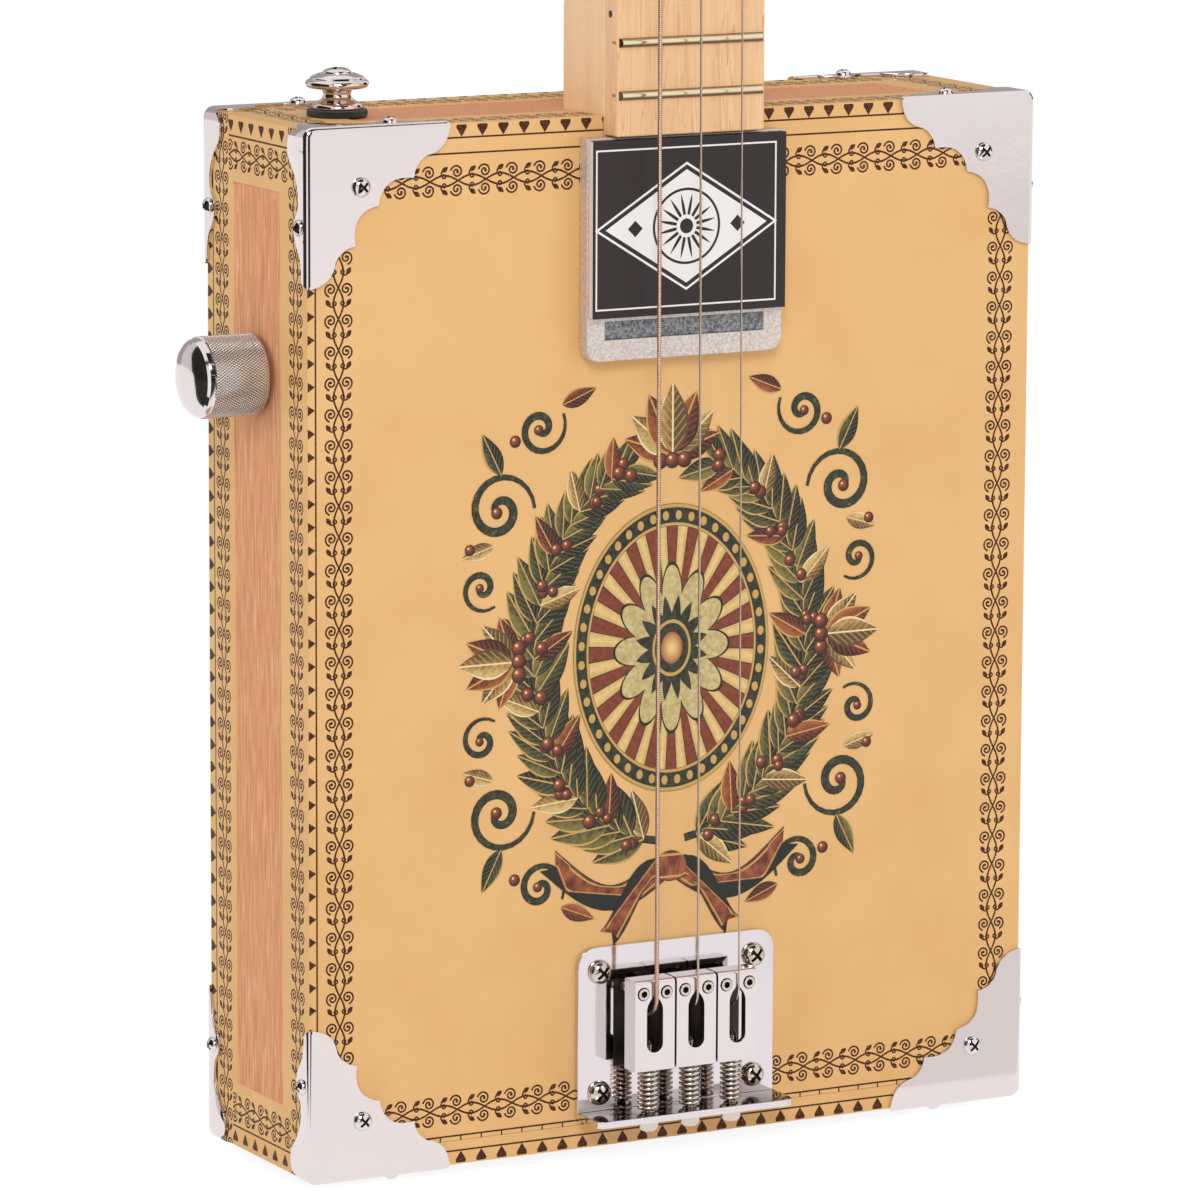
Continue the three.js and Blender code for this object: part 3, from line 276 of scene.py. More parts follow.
# Sides: a band along each long edge, a short band across each end
side_vine_front, side_vine_back, end_vine, end_room = 5.85, 43.85, 9.0, 13.5
short_front, short_back, gem_room = 9.6, 11.5, 4.0
in_side_end = t.below(from_end, end_room)
mirrored = t.plus(from_back, side_vine_front + side_vine_back - (box_back - box_front))
side_band = t.minus(t.calc("MINIMUM", from_front, mirrored), side_vine_front)
short_band = t.minus(from_end, end_vine)
between_bands = t.all(t.above(from_front, short_front), t.above(from_back, short_back))
in_short = t.all(in_side_end, between_bands)
# one vine for all faces: choose where it runs and how far the point is from its middle
run_front = t.pick(in_end, z, x)
off_front = t.pick(in_end, front_side, front_end)
run_side = t.pick(in_short, z, y)
off_side = t.pick(in_short, side_band, short_band)
near_corner = t.below(from_side, end_room)
run_top = t.pick(near_corner, x, y)
off_top = t.pick(near_corner, side_band, t.minus(from_side, end_vine))
run = t.pick(on_side, t.pick(on_end, run_front, run_top), run_side)
off = t.pick(on_side, t.pick(on_end, off_front, off_top), off_side)
vine_half = 3.6
vine_room = t.below(t.size(off), vine_half)
vine = t.all(t.use(vine_tree, Along=run, Across=off)["Ink"], vine_room)
# gems: a row along each edge, its tips turned to the middle of the face and this far from the edge
wall_tips, side_end_tips, front_side_tips, front_end_tips = 2.9, 3.8, 1.8, 3.0
wall_gems = t.minus(wall_tips, from_back)
on_gem_row = t.below(from_end, gem_room)
side_gems = t.pick(t.all(in_side_end, on_gem_row), wall_gems, t.minus(side_end_tips, from_end))
front_gems = t.pick(in_end, t.minus(front_side_tips, left), t.minus(front_end_tips, from_end))
gem_edge = t.pick(on_side, t.pick(on_end, front_gems, wall_gems), side_gems)
gem_run = t.pick(on_side, t.pick(on_end, run_front, x), t.pick(on_gem_row, z, y))
gems = t.use(gem_tree, Along=gem_run, Height=gem_edge, Tall=gem_tall)["Ink"]
# lines: ruled ones beside the gems, and a row of ticks between two of them at the foot
side_line_at, outer_line_at, inner_line_at, end_line_at, wall_line_at = 2.0, 3.2, 6.7, 4.7, 3.1
tick_half, tick_from, pale_line_at, pale_line_half, pale_line_ink = 0.18, 5.5, 5.6, 0.08, 0.45
end_lines = t.any(line_at(from_end, outer_line_at), line_at(from_end, inner_line_at))
front_lines = t.pick(in_end, line_at(left, side_line_at), end_lines)
tick_run = t.off(t.calc("FLOORED_MODULO", x, gem_pitch), gem_pitch / 2)
tick = t.all(t.below(tick_run, tick_half), t.above(from_low, tick_from), t.below(from_low, inner_line_at))
pale_line = t.times(line_at(from_low, pale_line_at, pale_line_half), pale_line_ink)
front_lines = t.any(front_lines, t.all(in_end, t.any(tick, pale_line)))
end_line = t.all(on_side, line_at(from_end, end_line_at), between_bands)
wall_lines = t.any(t.all(line_at(from_back, wall_line_at), t.above(from_end, gem_room)), end_line)
lines = t.pick(t.any(on_side, on_end), front_lines, wall_lines)
# the print is on the outer skin alone, not on the thin walls of the windows
from_face = t.calc("MINIMUM", from_front, from_back)
from_skin = t.pick(on_side, t.pick(on_end, from_face, from_end), from_side)
t.put(gives["Ink"], t.all(t.any(vine, gems, lines), t.below(from_skin, skin)))
window_wall = t.below(t.size(y), window_half + window_slack)
window_side = t.all(on_side, window_wall, t.above(from_end, side_margin - window_slack))
window_end = t.all(on_end, window_wall, t.above(from_side, end_margin - window_slack))
window_back = t.all(on_back, t.above(from_side, back_margin - window_slack),
                    t.above(from_end, back_margin - window_slack))
t.put(gives["Window"], t.any(window_side, window_end, window_back))

print_brown = rgb(66, 30, 16)
paper_cream = rgb(235, 188, 127)
paper_shade = rgb(229, 180, 118)
wood_red = rgb(238, 170, 124)
wood_red_dark = rgb(208, 138, 96)
wood_pale = rgb(250, 200, 158)
wood_pore = rgb(168, 104, 74)
paper, t, shader = new_material("papered_wood", roughness=0.55, Specular_IOR_Level=0.2)
place = t.place_mm()
marks = t.use(print_tree, Place=place, Facing=t.add("TexCoord").outputs["Normal"])
mottle = t.noise(place, 0.05, detail=4.0)
fleck = t.noise(place, 2.4, detail=3.0)
cream = t.blend(t.rescale(mottle, 0.35, 0.7), paper_cream, paper_shade)
worn_ink = t.times(marks["Ink"], t.rescale(fleck, 0.25, 0.5, 0.78, 1.0))
inked = t.blend(worn_ink, cream, print_brown)
grain = t.noise(t.stretched(place, (3.2, 3.2, 0.09)), 1.0, detail=5.0, roughness=0.65)
pores = t.noise(t.stretched(place, (9.0, 9.0, 0.35)), 1.0, detail=2.0)
bare = t.blend(t.rescale(grain, 0.38, 0.62), wood_red, wood_red_dark)
streaks = t.noise(t.stretched(place, (2.4, 2.4, 0.1)), 1.0, detail=3.0)
bare = t.blend(t.rescale(streaks, 0.54, 0.68, 0.0, 0.8), bare, wood_pale)
bare = t.blend(t.rescale(pores, 0.62, 0.72, 0.0, 0.45), bare, wood_pore)
t.put(shader["Base Color"], t.blend(marks["Window"], inked, bare))
t.put(shader["Roughness"], t.pick(marks["Window"], 0.5, 0.62))
relief = t.plus(t.times(fleck, 0.25), t.all(marks["Window"], pores))
bump(t, shader, relief, 0.25, 0.00008)


def choose(*pieces):
    """Only these objects are selected, and the first is the active one."""
    bpy.ops.object.select_all(action="DESELECT")
    for piece in pieces:
        piece.select_set(True)
    bpy.context.view_layer.objects.active = pieces[0]


def edit(piece):
    choose(piece)
    bpy.ops.object.mode_set(mode="EDIT")


def done():
    bpy.ops.object.mode_set(mode="OBJECT")


def face_outward():
    """All faces of the piece that is being edited are turned to point outwards."""
    bpy.ops.mesh.select_all(action="SELECT")
    bpy.ops.mesh.normals_make_consistent(inside=False)


def copy_of(pattern, name):
    """A new object with its own copy of a pattern's mesh."""
    copy = bpy.data.objects.new(name, pattern.data.copy())
    bpy.context.scene.collection.objects.link(copy)
    return copy


broad_face = 100 * MM * MM
merge_within = 0.002 * MM


def finish_edges(piece, width=0.3, segments=2, angle=30.0, smooth=35.0):
    """Sharp edges are rounded, and faces shaded smooth up to an angle but for the broad flat ones."""
    choose(piece)
    if width:
        rounding = piece.modifiers.new("rounding", "BEVEL")
        rounding.width = width * MM
        rounding.segments = segments
        rounding.limit_method = "ANGLE"
        rounding.angle_limit = math.radians(angle)
        bpy.ops.object.modifier_apply(modifier=rounding.name)
    bpy.ops.object.shade_smooth_by_angle(angle=math.radians(smooth))
    for face in piece.data.polygons:
        if face.area > broad_face:
            face.use_smooth = False
    weights = piece.modifiers.new("flat_faces", "WEIGHTED_NORMAL")
    weights.keep_sharp = True
    bpy.ops.object.modifier_apply(modifier=weights.name)


def from_solid(node, name, finish, slot, body="guitar", **edges):
    """A finished piece made from a copy of a solid's mesh, merged and with its edges rounded."""
    piece = copy_of(nodes[node], name)
    piece.data.materials.clear()
    piece.data.materials.append(finish)
    choose(piece)
    bpy.ops.mesh.customdata_custom_splitnormals_clear()
    edit(piece)
    bpy.ops.mesh.select_all(action="SELECT")
    bpy.ops.mesh.remove_doubles(threshold=merge_within)
    bpy.ops.mesh.dissolve_limited(angle_limit=math.radians(0.5))
    done()
    finish_edges(piece, **edges)
    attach(piece, body)
    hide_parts(node)
    return piece


for node in ("soundboard", "back_panel", "wall_bass", "wall_treble", "wall_neck_end", "wall_tail"):
    from_solid(node, "papered_" + node, paper, "paper", width=0.12, segments=1)


# Corner brackets: eight caps with a scalloped edge, stamped from chromed steel sheet and folded
# over the box's corners. Three domed nails with a crossed slot hold each one.
wear_tree, t, given, gives = new_group(
    "Handled metal", [("Place", "Vector"), "Roughness", "Smear"], ["Roughness", "Height"])
smear = t.noise(given["Place"], 0.11, detail=4.0, roughness=0.6)
speck = t.noise(given["Place"], 1.7, detail=2.0)
smeared = t.times(given["Smear"], t.rescale(smear, 0.4, 0.75))
t.put(gives["Roughness"], t.plus(given["Roughness"], smeared))
t.put(gives["Height"], t.plus(smear, t.times(speck, 0.02)))
wave_depth = 0.0006


def plated(name, color, roughness, smear=0.05, strength=0.05):
    """Polished plate with faint finger smears and the slight waves of a stamped sheet."""
    made, t, shader = new_material(name, metallic=1.0, color=color)
    wear = t.use(wear_tree, Place=t.place_mm(), Roughness=roughness, Smear=smear)
    t.put(shader["Roughness"], wear["Roughness"])
    bump(t, shader, wear["Height"], strength, wave_depth)
    return made


plate_white = rgb(228, 219, 218)
chrome = plated("chrome_plate", plate_white, 0.07)
# painted shade: the crossed slots in the domed heads and the grub screws' sockets are lined with a dark colour
painted_slot_shade = new_material("painted_slot_shade", 0.45, 0.6, rgb(52, 44, 40))[0]


def new_piece(name, finish, points, closed=True, filled=True):
    """A new mesh started from a circle whose corners are moved to the given points, in millimetres."""
    bpy.ops.object.select_all(action="DESELECT")
    bpy.ops.mesh.primitive_circle_add(vertices=len(points), fill_type="NGON" if filled else "NOTHING")
    piece = bpy.context.object
    piece.name = name
    for vertex, point in zip(piece.data.vertices, points):
        vertex.co = Vector(point) * MM
    if not closed:
        edit(piece)
        bpy.ops.mesh.select_mode(type="EDGE")
        bpy.ops.mesh.select_all(action="DESELECT")
        done()
        for edge in piece.data.edges:
            edge.select = set(edge.vertices) == {0, len(points) - 1}
        edit(piece)
        bpy.ops.mesh.delete(type="EDGE")
        bpy.ops.mesh.select_mode(type="VERT")
        done()
    piece.data.materials.append(finish)
    return piece


def round_angles(count):
    return [2 * math.pi * n / count for n in range(count)]


def drawn_out(piece, by):
    """A flat piece is drawn out by a vector in millimetres, and so closed into a solid."""
    edit(piece)
    bpy.ops.mesh.select_all(action="SELECT")
    bpy.ops.mesh.extrude_region_move(TRANSFORM_OT_translate={"value": Vector(by) * MM})
    face_outward()
    done()


def frame_of(axis):
    """An axis of length one, and two directions square to it."""
    axis = Vector(axis).normalized()
    helper = Vector((0, 0, 1)) if abs(axis.z) < 0.9 else Vector((1, 0, 0))
    first = axis.cross(helper).normalized()
    return axis, first, axis.cross(first)


def spun(name, finish, profile, at, axis, steps=48, smooth=40.0):
    """A turned piece: a profile of (radius, height) pairs in millimetres, spun round its axis."""
    axis, first, second = frame_of(axis)
    centre = Vector(at)
    line = [centre + first * r + axis * h for r, h in profile]
    piece = new_piece(name, finish, line, closed=False, filled=False)
    edit(piece)
    bpy.ops.mesh.select_all(action="SELECT")
    bpy.ops.mesh.spin(steps=steps, angle=2 * math.pi, center=centre * MM, axis=axis)
    bpy.ops.mesh.select_all(action="SELECT")
    bpy.ops.mesh.remove_doubles(threshold=0.004 * MM)
    bpy.ops.mesh.delete_loose()
    face_outward()
    done()
    choose(piece)
    bpy.ops.object.shade_smooth_by_angle(angle=math.radians(smooth))
    return piece


def rounded(corners, radius, steps=4):
    """A profile whose inner corners are rounded; each corner is (r, h), or (r, h, own radius)."""
    points = [corners[0][:2]]
    for before, corner, after in zip(corners, corners[1:], corners[2:]):
        own = corner[2] if len(corner) > 2 else radius
        here = Vector(corner[:2])
        a, b = Vector(before[:2]) - here, Vector(after[:2]) - here
        reach = min(own, a.length * 0.49, b.length * 0.49)
        if reach < 1e-4:
            points.append(tuple(here))
            continue
        start, end = here + a.normalized() * reach, here + b.normalized() * reach
        for step in range(steps + 1):
            s = step / steps
            points.append(tuple(start * (1 - s) ** 2 + here * 2 * s * (1 - s) + end * s ** 2))
    points.append(corners[-1][:2])
    return points


def joined(name, *pieces):
    """Several meshes of one part, joined into one object."""
    choose(*pieces)
    if len(pieces) > 1:
        bpy.ops.object.join()
    piece = bpy.context.object
    piece.name = name
    return piece


def dome(name, finish, at, axis, radius, height, steps=24):
    """A domed head with a crossed slot sunk into its top."""
    arc = [(radius * math.sin(a), height * math.cos(a)) for a in [math.pi / 2 * k / 8 for k in range(9)]]
    profile = [(0.0, -0.05), (radius * 0.98, -0.05), (radius, 0.0)] + arc[::-1][1:]
    profile[-1] = (0.0, height)
    head = spun(name, finish, profile, at, axis, steps=steps)
    axis, first, second = frame_of(axis)
    arm, half, top, deep = radius * 0.62, radius * 0.13, height * 1.02, height * 0.62
    one, two = (first + second).normalized(), (second - first).normalized()
    bars = []
    for along, across in ((one, two), (two, one)):
        corners = [Vector(at) + axis * top + along * (arm * a) + across * (half * b)
                   for a, b in ((-1, -1), (1, -1), (1, 1), (-1, 1))]
        bar = new_piece(name + "_slot", painted_slot_shade, corners)
        drawn_out(bar, -axis * deep)
        bars.append(bar)
    head.data.materials.append(painted_slot_shade)
    carve(head, joined(name + "_cutter", *bars))
    return head


def carve(piece, cutter):
    """The cutter's shape is taken out of the piece, and the cutter is removed."""
    cutting = piece.modifiers.new("cut", "BOOLEAN")
    cutting.operation = "DIFFERENCE"
    cutting.solver = "EXACT"
    cutting.use_self = True
    cutting.material_mode = "TRANSFER"
    cutting.object = cutter
    choose(piece)
    bpy.ops.object.modifier_apply(modifier=cutting.name)
    bpy.data.objects.remove(cutter)
    bpy.ops.object.shade_smooth_by_angle(angle=math.radians(40))


def quadratic(a, b, c, steps):
    return [tuple((1 - s) ** 2 * p + 2 * s * (1 - s) * q + s * s * r for p, q, r in zip(a, b, c))
            for s in [k / steps for k in range(1, steps + 1)]]


bracket_leg, bracket_sheet, bracket_flange, fold, corner_round = 36.0, 0.8, 9.2, 1.25, 2.4
leg_steps, corner_steps, leg_short = 44, 8, 0.05
scallop = [(1.0, 0.0)]
for control, end in (((0.995, 0.185), (0.84, 0.208)), ((0.757, 0.25), (0.747, 0.344)),
                     ((0.535, 0.31), (0.503, 0.503))):
    scallop += quadratic(scallop[-1], control, end, 9)
scallop += [(v, u) for u, v in scallop[-2::-1]]
flange = [(0, 0.6), (0.06, 0.9), (0.13, 1), (0.2, 0.93), (0.28, 0.66), (0.37, 0.46), (0.46, 0.4), (0.53, 0.45),
          (0.585, 0.62), (0.66, 0.66), (0.73, 0.54), (0.81, 0.33), (0.91, 0.24), (0.97, 0.2), (1, 0.03)]


def flange_depth(share):
    """The flange's depth at a share of the leg, on a smooth line through its points."""
    for k in range(len(flange) - 1):
        if share <= flange[k + 1][0] or k == len(flange) - 2:
            before, a, b = flange[max(k - 1, 0)], flange[k], flange[k + 1]
            after = flange[min(k + 2, len(flange) - 1)]
            s = (share - a[0]) / (b[0] - a[0])
            tan_a = (b[1] - before[1]) / (b[0] - before[0]) * (b[0] - a[0])
            tan_b = (after[1] - a[1]) / (after[0] - a[0]) * (b[0] - a[0])
            return ((2 * s ** 3 - 3 * s ** 2 + 1) * a[1] + (s ** 3 - 2 * s ** 2 + s) * tan_a
                    + (-2 * s ** 3 + 3 * s ** 2) * b[1] + (s ** 3 - s ** 2) * tan_b) * bracket_flange


edge_path = []
leg_end = bracket_leg - leg_short
straight = [leg_end - (leg_end - corner_round) * k / leg_steps for k in range(leg_steps + 1)]
for s in straight:
    edge_path.append(((s, 0.0), (0.0, -1.0), flange_depth(s / bracket_leg)))
for k in range(1, corner_steps):
    a = math.pi / 2 * k / corner_steps
    low = flange_depth(corner_round * abs(1 - 2 * k / corner_steps) / bracket_leg)
    edge_path.append(((corner_round * (1 - math.sin(a)), corner_round * (1 - math.cos(a))),
                      (-math.sin(a), -math.cos(a)), low))
for s in straight[::-1]:
    edge_path.append(((0.0, s), (-1.0, 0.0), flange_depth(s / bracket_leg)))


def bracket_corner():
    """One bracket in its own corner: x and z run in from the outer planes, y from the front plane.

    Its outline is folded over in four small steps, and then drawn down to the flange's edge."""
    inner = [(p[0] - n[0] * fold, 0.0, p[1] - n[1] * fold) for p, n, deep in edge_path]
    lobes = [(u * bracket_leg, 0.0, v * bracket_leg) for u, v in scallop
             if min(u, v) * bracket_leg > fold + 0.2]
    plate = new_piece("bracket", chrome, inner + lobes[::-1])
    count = len(inner)
    edit(plate)
    bpy.ops.mesh.select_mode(type="EDGE")
    bpy.ops.mesh.select_all(action="DESELECT")
    done()
    for edge in plate.data.edges:
        edge.select = max(edge.vertices) < count and abs(edge.vertices[0] - edge.vertices[1]) == 1
    previous = inner
    for angle in (math.pi / 8, math.pi / 4, math.pi * 3 / 8, math.pi / 2, None):
        bpy.ops.object.mode_set(mode="EDIT")
        bpy.ops.mesh.extrude_edges_move()
        done()
        ranked = order_along([v for v in plate.data.vertices if v.select], previous)
        previous = []
        for vertex, (p, n, deep) in zip(ranked, edge_path):
            limit = math.acos(max(-1.0, 1 - deep / fold)) if deep < fold else math.pi / 2
            turn_by = min(angle if angle is not None else math.pi / 2, limit)
            out = fold * math.sin(turn_by)
            down = fold * (1 - math.cos(turn_by))
            if angle is None:
                down = max(deep, down)
            spot = (p[0] - n[0] * (fold - out), down, p[1] - n[1] * (fold - out))
            vertex.co = Vector(spot) * MM
            previous.append(spot)
    edit(plate)
    bpy.ops.mesh.select_mode(type="VERT")
    face_outward()
    done()
    if plate.data.polygons[0].normal.y > 0:
        plate.data.flip_normals()
    sheet = plate.modifiers.new("sheet", "SOLIDIFY")
    sheet.thickness = bracket_sheet * MM
    sheet.offset = -1.0
    choose(plate)
    bpy.ops.object.modifier_apply(modifier=sheet.name)
    finish_edges(plate, width=0.14, segments=2, angle=50, smooth=40)
    face_nail, flange_nail, nail_down = 13.8, 22.5, 3.2
    nails = [dome("nail", chrome, (face_nail, 0.0, face_nail), (0, -1, 0), 2.3, 1.5),
             dome("nail", chrome, (0.0, nail_down, flange_nail), (-1, 0, 0), 1.9, 1.3),
             dome("nail", chrome, (flange_nail, nail_down, 0.0), (0, 0, -1), 1.9, 1.3)]
    return joined("bracket", plate, *nails)


def order_along(vertices, spots):
    """New vertices in the order of the points that they were made on."""
    left_over = {v.index: v for v in vertices}
    ranked = []
    for spot in spots:
        place = Vector(spot) * MM
        near = min(left_over.values(), key=lambda v: (v.co - place).length)
        ranked.append(left_over.pop(near.index))
    return ranked


pattern = bracket_corner()
outer_x, outer_y, outer_low, outer_high = 94.3, 26.6, -1.1, 239.0
for face, sy in (("front", 1), ("back", -1)):
    for end, sz in (("tail", 1), ("neck", -1)):
        for hand, sx in (("bass", 1), ("treble", -1)):
            node = f"bracket_{face}_{end}_{hand}"
            piece = copy_of(pattern, f"cap_{face}_{end}_{hand}")
            corner = Vector((-sx * outer_x, -sy * outer_y, outer_low if sz > 0 else outer_high)) * MM
            piece.data.transform(Matrix.Translation(corner) @ Matrix.Diagonal((sx, sy, sz, 1)))
            if sx * sy * sz < 0:
                piece.data.flip_normals()
            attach(piece, "guitar")
            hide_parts(node)
bpy.data.objects.remove(pattern)


# Printed picture on the soundboard: a wreath of laurel with berries round a gilt sunburst, with scrolls
# and a tied band. It is printed in dark green, olive, brown red and gold, each ink a hair above the paper.
art_x, art_z = -1.0, 115.0
ink_green, ink_deep = rgb(58, 62, 38), rgb(27, 29, 22)
ink_olive, ink_gold = rgb(128, 116, 58), rgb(203, 160, 88)
ink_red, ink_rust = rgb(112, 46, 28), rgb(168, 92, 50)


def shared(piece, name, values):
    """A value of the piece's own at each of its points, for its material to read."""
    held = piece.data.attributes.get(name) or piece.data.attributes.new(name, "FLOAT_VECTOR", "POINT")
    for item, value in zip(held.data, values):
        item.vector = value


def held_value(maker, name):
    return maker.split(maker.add("Attribute", attribute_name=name).outputs["Vector"])


leaf_widest, leaf_shape, rib_half, rim_from = 0.19, 0.8, 0.011, 0.84


def printed_leaf(name, dark, body, light, edge):
    """Ink for a leaf: light on one side of its rib, with side veins and a fine edge line."""
    made, t, shader = new_material(name, roughness=0.5)
    along, across, own = held_value(t, "leaf")
    half = t.times(t.calc("SINE", t.times(t.calc("POWER", along, leaf_shape), math.pi)), leaf_widest)
    side = t.over(t.size(across), t.calc("MAXIMUM", half, 0.01))
    veins = t.calc("SINE", t.minus(t.times(along, 48.0), t.times(t.size(across), 75.0)))
    mottle = t.noise(t.place_mm(), 0.7, detail=4.0, roughness=0.65)
    lit = t.plus(t.rescale(across, -0.1, 0.12), t.times(t.minus(mottle, 0.5), 1.6))
    lit = t.plus(lit, t.times(t.minus(own, 0.5), 0.7))
    tone = t.blend(t.rescale(lit, 0.1, 0.6), dark, body)
    tone = t.blend(t.rescale(lit, 0.6, 1.2), tone, light)
    tone = t.blend(t.rescale(veins, 0.55, 1.0, 0.0, 0.5), tone, light)
    tone = t.blend(t.below(t.size(across), rib_half), tone, edge)
    rim = t.above(side, rim_from)
    tone = t.blend(t.all(rim, t.above(across, 0.0)), tone, edge)
    tone = t.blend(t.all(rim, t.below(across, 0.0)), tone, dark)
    t.put(shader["Base Color"], tone)
    return made


leaf_green = printed_leaf("ink_laurel", ink_deep, ink_green, ink_olive, ink_gold)
leaf_rust = printed_leaf("ink_rust_leaf", rgb(60, 26, 18), ink_red, ink_rust, ink_gold)
leaf_gold = printed_leaf("ink_gold_leaf", rgb(96, 70, 34), rgb(164, 124, 62),
                         rgb(214, 182, 118), rgb(238, 214, 160))
print_thick, print_clear, print_step = 0.02, 0.012, 0.00045


def decal(name, finish, outline):
    """A flat shape lying on the paper; its outline is in x and z from its own middle."""
    shape = new_piece(name, finish, [(u, 0.0, v) for u, v in outline])
    drawn_out(shape, (0, print_thick, 0))
    return shape


def oval(half_x, half_z, count, at_z=0.0):
    return [(half_x * math.cos(a), at_z + half_z * math.sin(a)) for a in round_angles(count)]


leaf_steps = [k / 9 for k in range(10)]
half_width = [leaf_widest * math.sin(math.pi * p ** leaf_shape) for p in leaf_steps]
upper_line = list(zip(leaf_steps, half_width))
leaf_line = upper_line + [(p, -h) for p, h in upper_line[-2:0:-1]]
leaf_pattern = decal("leaf", leaf_green, leaf_line)
shared(leaf_pattern, "leaf", [(v.co.x / MM, v.co.z / MM, 0.5) for v in leaf_pattern.data.vertices])
random.seed(11)
printed = {"laurel_leaves": [], "rust_leaves": [], "gold_leaves": [], "berries": [], "scrolls": []}
inks = {"laurel_leaves": leaf_green, "rust_leaves": leaf_rust, "gold_leaves": leaf_gold}
layer = [0]


def on_paper(level=0.0):
    """Each shape printed later lies a little higher, so that no two share a plane."""
    layer[0] += 1
    return box_front - print_clear - print_thick - level - layer[0] * print_step


def leaf(kind, x, z, angle, length, wide=1.0):
    copy = copy_of(leaf_pattern, "leaf")
    place = Matrix.Translation(Vector((art_x + x, on_paper(), art_z + z)) * MM)
    spin = Matrix.Rotation(-angle, 4, "Y")
    copy.data.transform(place @ spin @ Matrix.Diagonal((length, 1.0, length * wide, 1.0)))
    own = random.random()
    for item in copy.data.attributes["leaf"].data:
        item.vector = (item.vector[0], item.vector[1], own)
    copy.data.materials.clear()
    copy.data.materials.append(inks[kind])
    printed[kind].append(copy)


berry_ink, t, shader = new_material("ink_berry", roughness=0.45)
u, v, own = held_value(t, "leaf")
off = distance(t, u, v, -0.3, 0.35)
edge_off = t.length(u, v)
tone = t.blend(t.rescale(off, 0.1, 0.75), ink_rust, ink_red)
tone = t.blend(t.rescale(off, 0.7, 1.3), tone, rgb(48, 20, 16))
tone = t.blend(t.below(off, 0.2), tone, rgb(236, 196, 150))
tone = t.blend(t.above(edge_off, 0.88), tone, rgb(38, 18, 14))
t.put(shader["Base Color"], tone)
berry_pattern = decal("berry", berry_ink, oval(1.0, 1.0, 18))
shared(berry_pattern, "leaf", [(w.co.x / MM, w.co.z / MM, 0.5) for w in berry_pattern.data.vertices])


def berry(x, z, radius):
    copy = copy_of(berry_pattern, "berry")
    copy.data.transform(Matrix.Translation(Vector((art_x + x, on_paper(), art_z + z)) * MM)
                        @ Matrix.Diagonal((radius, 1.0, radius, 1.0)))
    printed["berries"].append(copy)


stroke_ink, t, shader = new_material("ink_scroll", roughness=0.5)
mottle = t.noise(t.place_mm(), 0.9, detail=4.0, roughness=0.65)
tone = t.blend(t.rescale(mottle, 0.35, 0.6), ink_deep, ink_green)
t.put(shader["Base Color"], t.blend(t.rescale(mottle, 0.6, 0.72), tone, ink_olive))


def tube(name, finish, points, radius, sides=4, radii=None):
    """A round wire of that radius along the points, in millimetres, with closed ends."""
    line = bpy.data.curves.new(name, "CURVE")
    line.dimensions = "3D"
    line.bevel_depth = radius * MM
    line.bevel_resolution = sides
    line.use_fill_caps = True
    spline = line.splines.new("POLY")
    spline.points.add(len(points) - 1)
    for point, spot, share in zip(spline.points, points, radii or [1.0] * len(points)):
        point.co = (*(Vector(spot) * MM), 1.0)
        point.radius = share
    holder = bpy.data.objects.new(name, line)
    bpy.context.scene.collection.objects.link(holder)
    choose(holder)
    bpy.ops.object.convert(target="MESH")
    piece = bpy.context.object
    piece.data.materials.append(finish)
    edit(piece)
    bpy.ops.mesh.select_all(action="SELECT")
    bpy.ops.mesh.remove_doubles(threshold=merge_within)
    bpy.ops.mesh.normals_make_consistent(inside=False)
    done()
    bpy.ops.object.shade_smooth_by_angle(angle=math.radians(50))
    return piece


def stroke(points, widths):
    """A drawn line of changing width."""
    line = tube("stroke", stroke_ink, [(art_x + u, 0.0, art_z + v) for u, v in points], 1.0, sides=2,
                radii=[w / 2 for w in widths])
    high = on_paper() * MM
    for vertex in line.data.vertices:
        vertex.co.y = high + max(-1.0, min(1.0, vertex.co.y / MM)) * 0.008 * MM + 0.01 * MM
    printed["scrolls"].append(line)


def spiral_stroke(x, z, start, reach, turns, thick, hand=1):
    """A scroll that curls in to a heavy end."""
    steps = int(22 * turns)
    points, widths = [], []
    for k in range(steps + 1):
        s = k / steps
        r = reach * (1 - s) ** 1.15 + reach * 0.1
        a = start + hand * 2 * math.pi * turns * s
        points.append((x + r * math.cos(a), z + r * math.sin(a)))
        widths.append(thick * (0.35 + 0.9 * math.sin(math.pi * min(1.0, s * 0.9 + 0.06)) + 0.35 * s))
    stroke(points, widths)
    berry(points[-1][0], points[-1][1], thick * 0.95)


# wreath: two branches from the tie at the foot to near the top
wreath_x, wreath_z, wreath_steps = 35.5, 45.0, 30
for hand in (-1, 1):
    arc = [math.radians(-84 + 158 * k / wreath_steps) for k in range(wreath_steps + 1)]
    branch = [(hand * wreath_x * math.cos(a), wreath_z * math.sin(a)) for a in arc]
    stroke(branch, [1.9 - 1.3 * k / wreath_steps for k in range(wreath_steps + 1)])
    for k in range(1, wreath_steps):
        (x0, z0), (x1, z1) = branch[k], branch[k + 1]
        heading = math.atan2(z1 - z0, x1 - x0)
        shrink = 1.0 - 0.25 * (k / wreath_steps) ** 2
        for turn_by in (0.62, -0.62):
            leaf("laurel_leaves", x0, z0, heading + turn_by + random.uniform(-0.12, 0.12),
                 random.uniform(13.0, 15.5) * shrink, random.uniform(0.95, 1.2))
        if k % 3 == 1:
            leaf("gold_leaves" if k % 2 else "rust_leaves", x0, z0, heading + random.choice((-1, 1)) * 1.0,
                 12.5 * shrink, 1.15)
        if k % 3 == 2:
            for n in range(3):
                berry(x0 + random.uniform(-2.6, 2.6), z0 + random.uniform(-2.2, 2.2), random.uniform(1.25, 1.8))
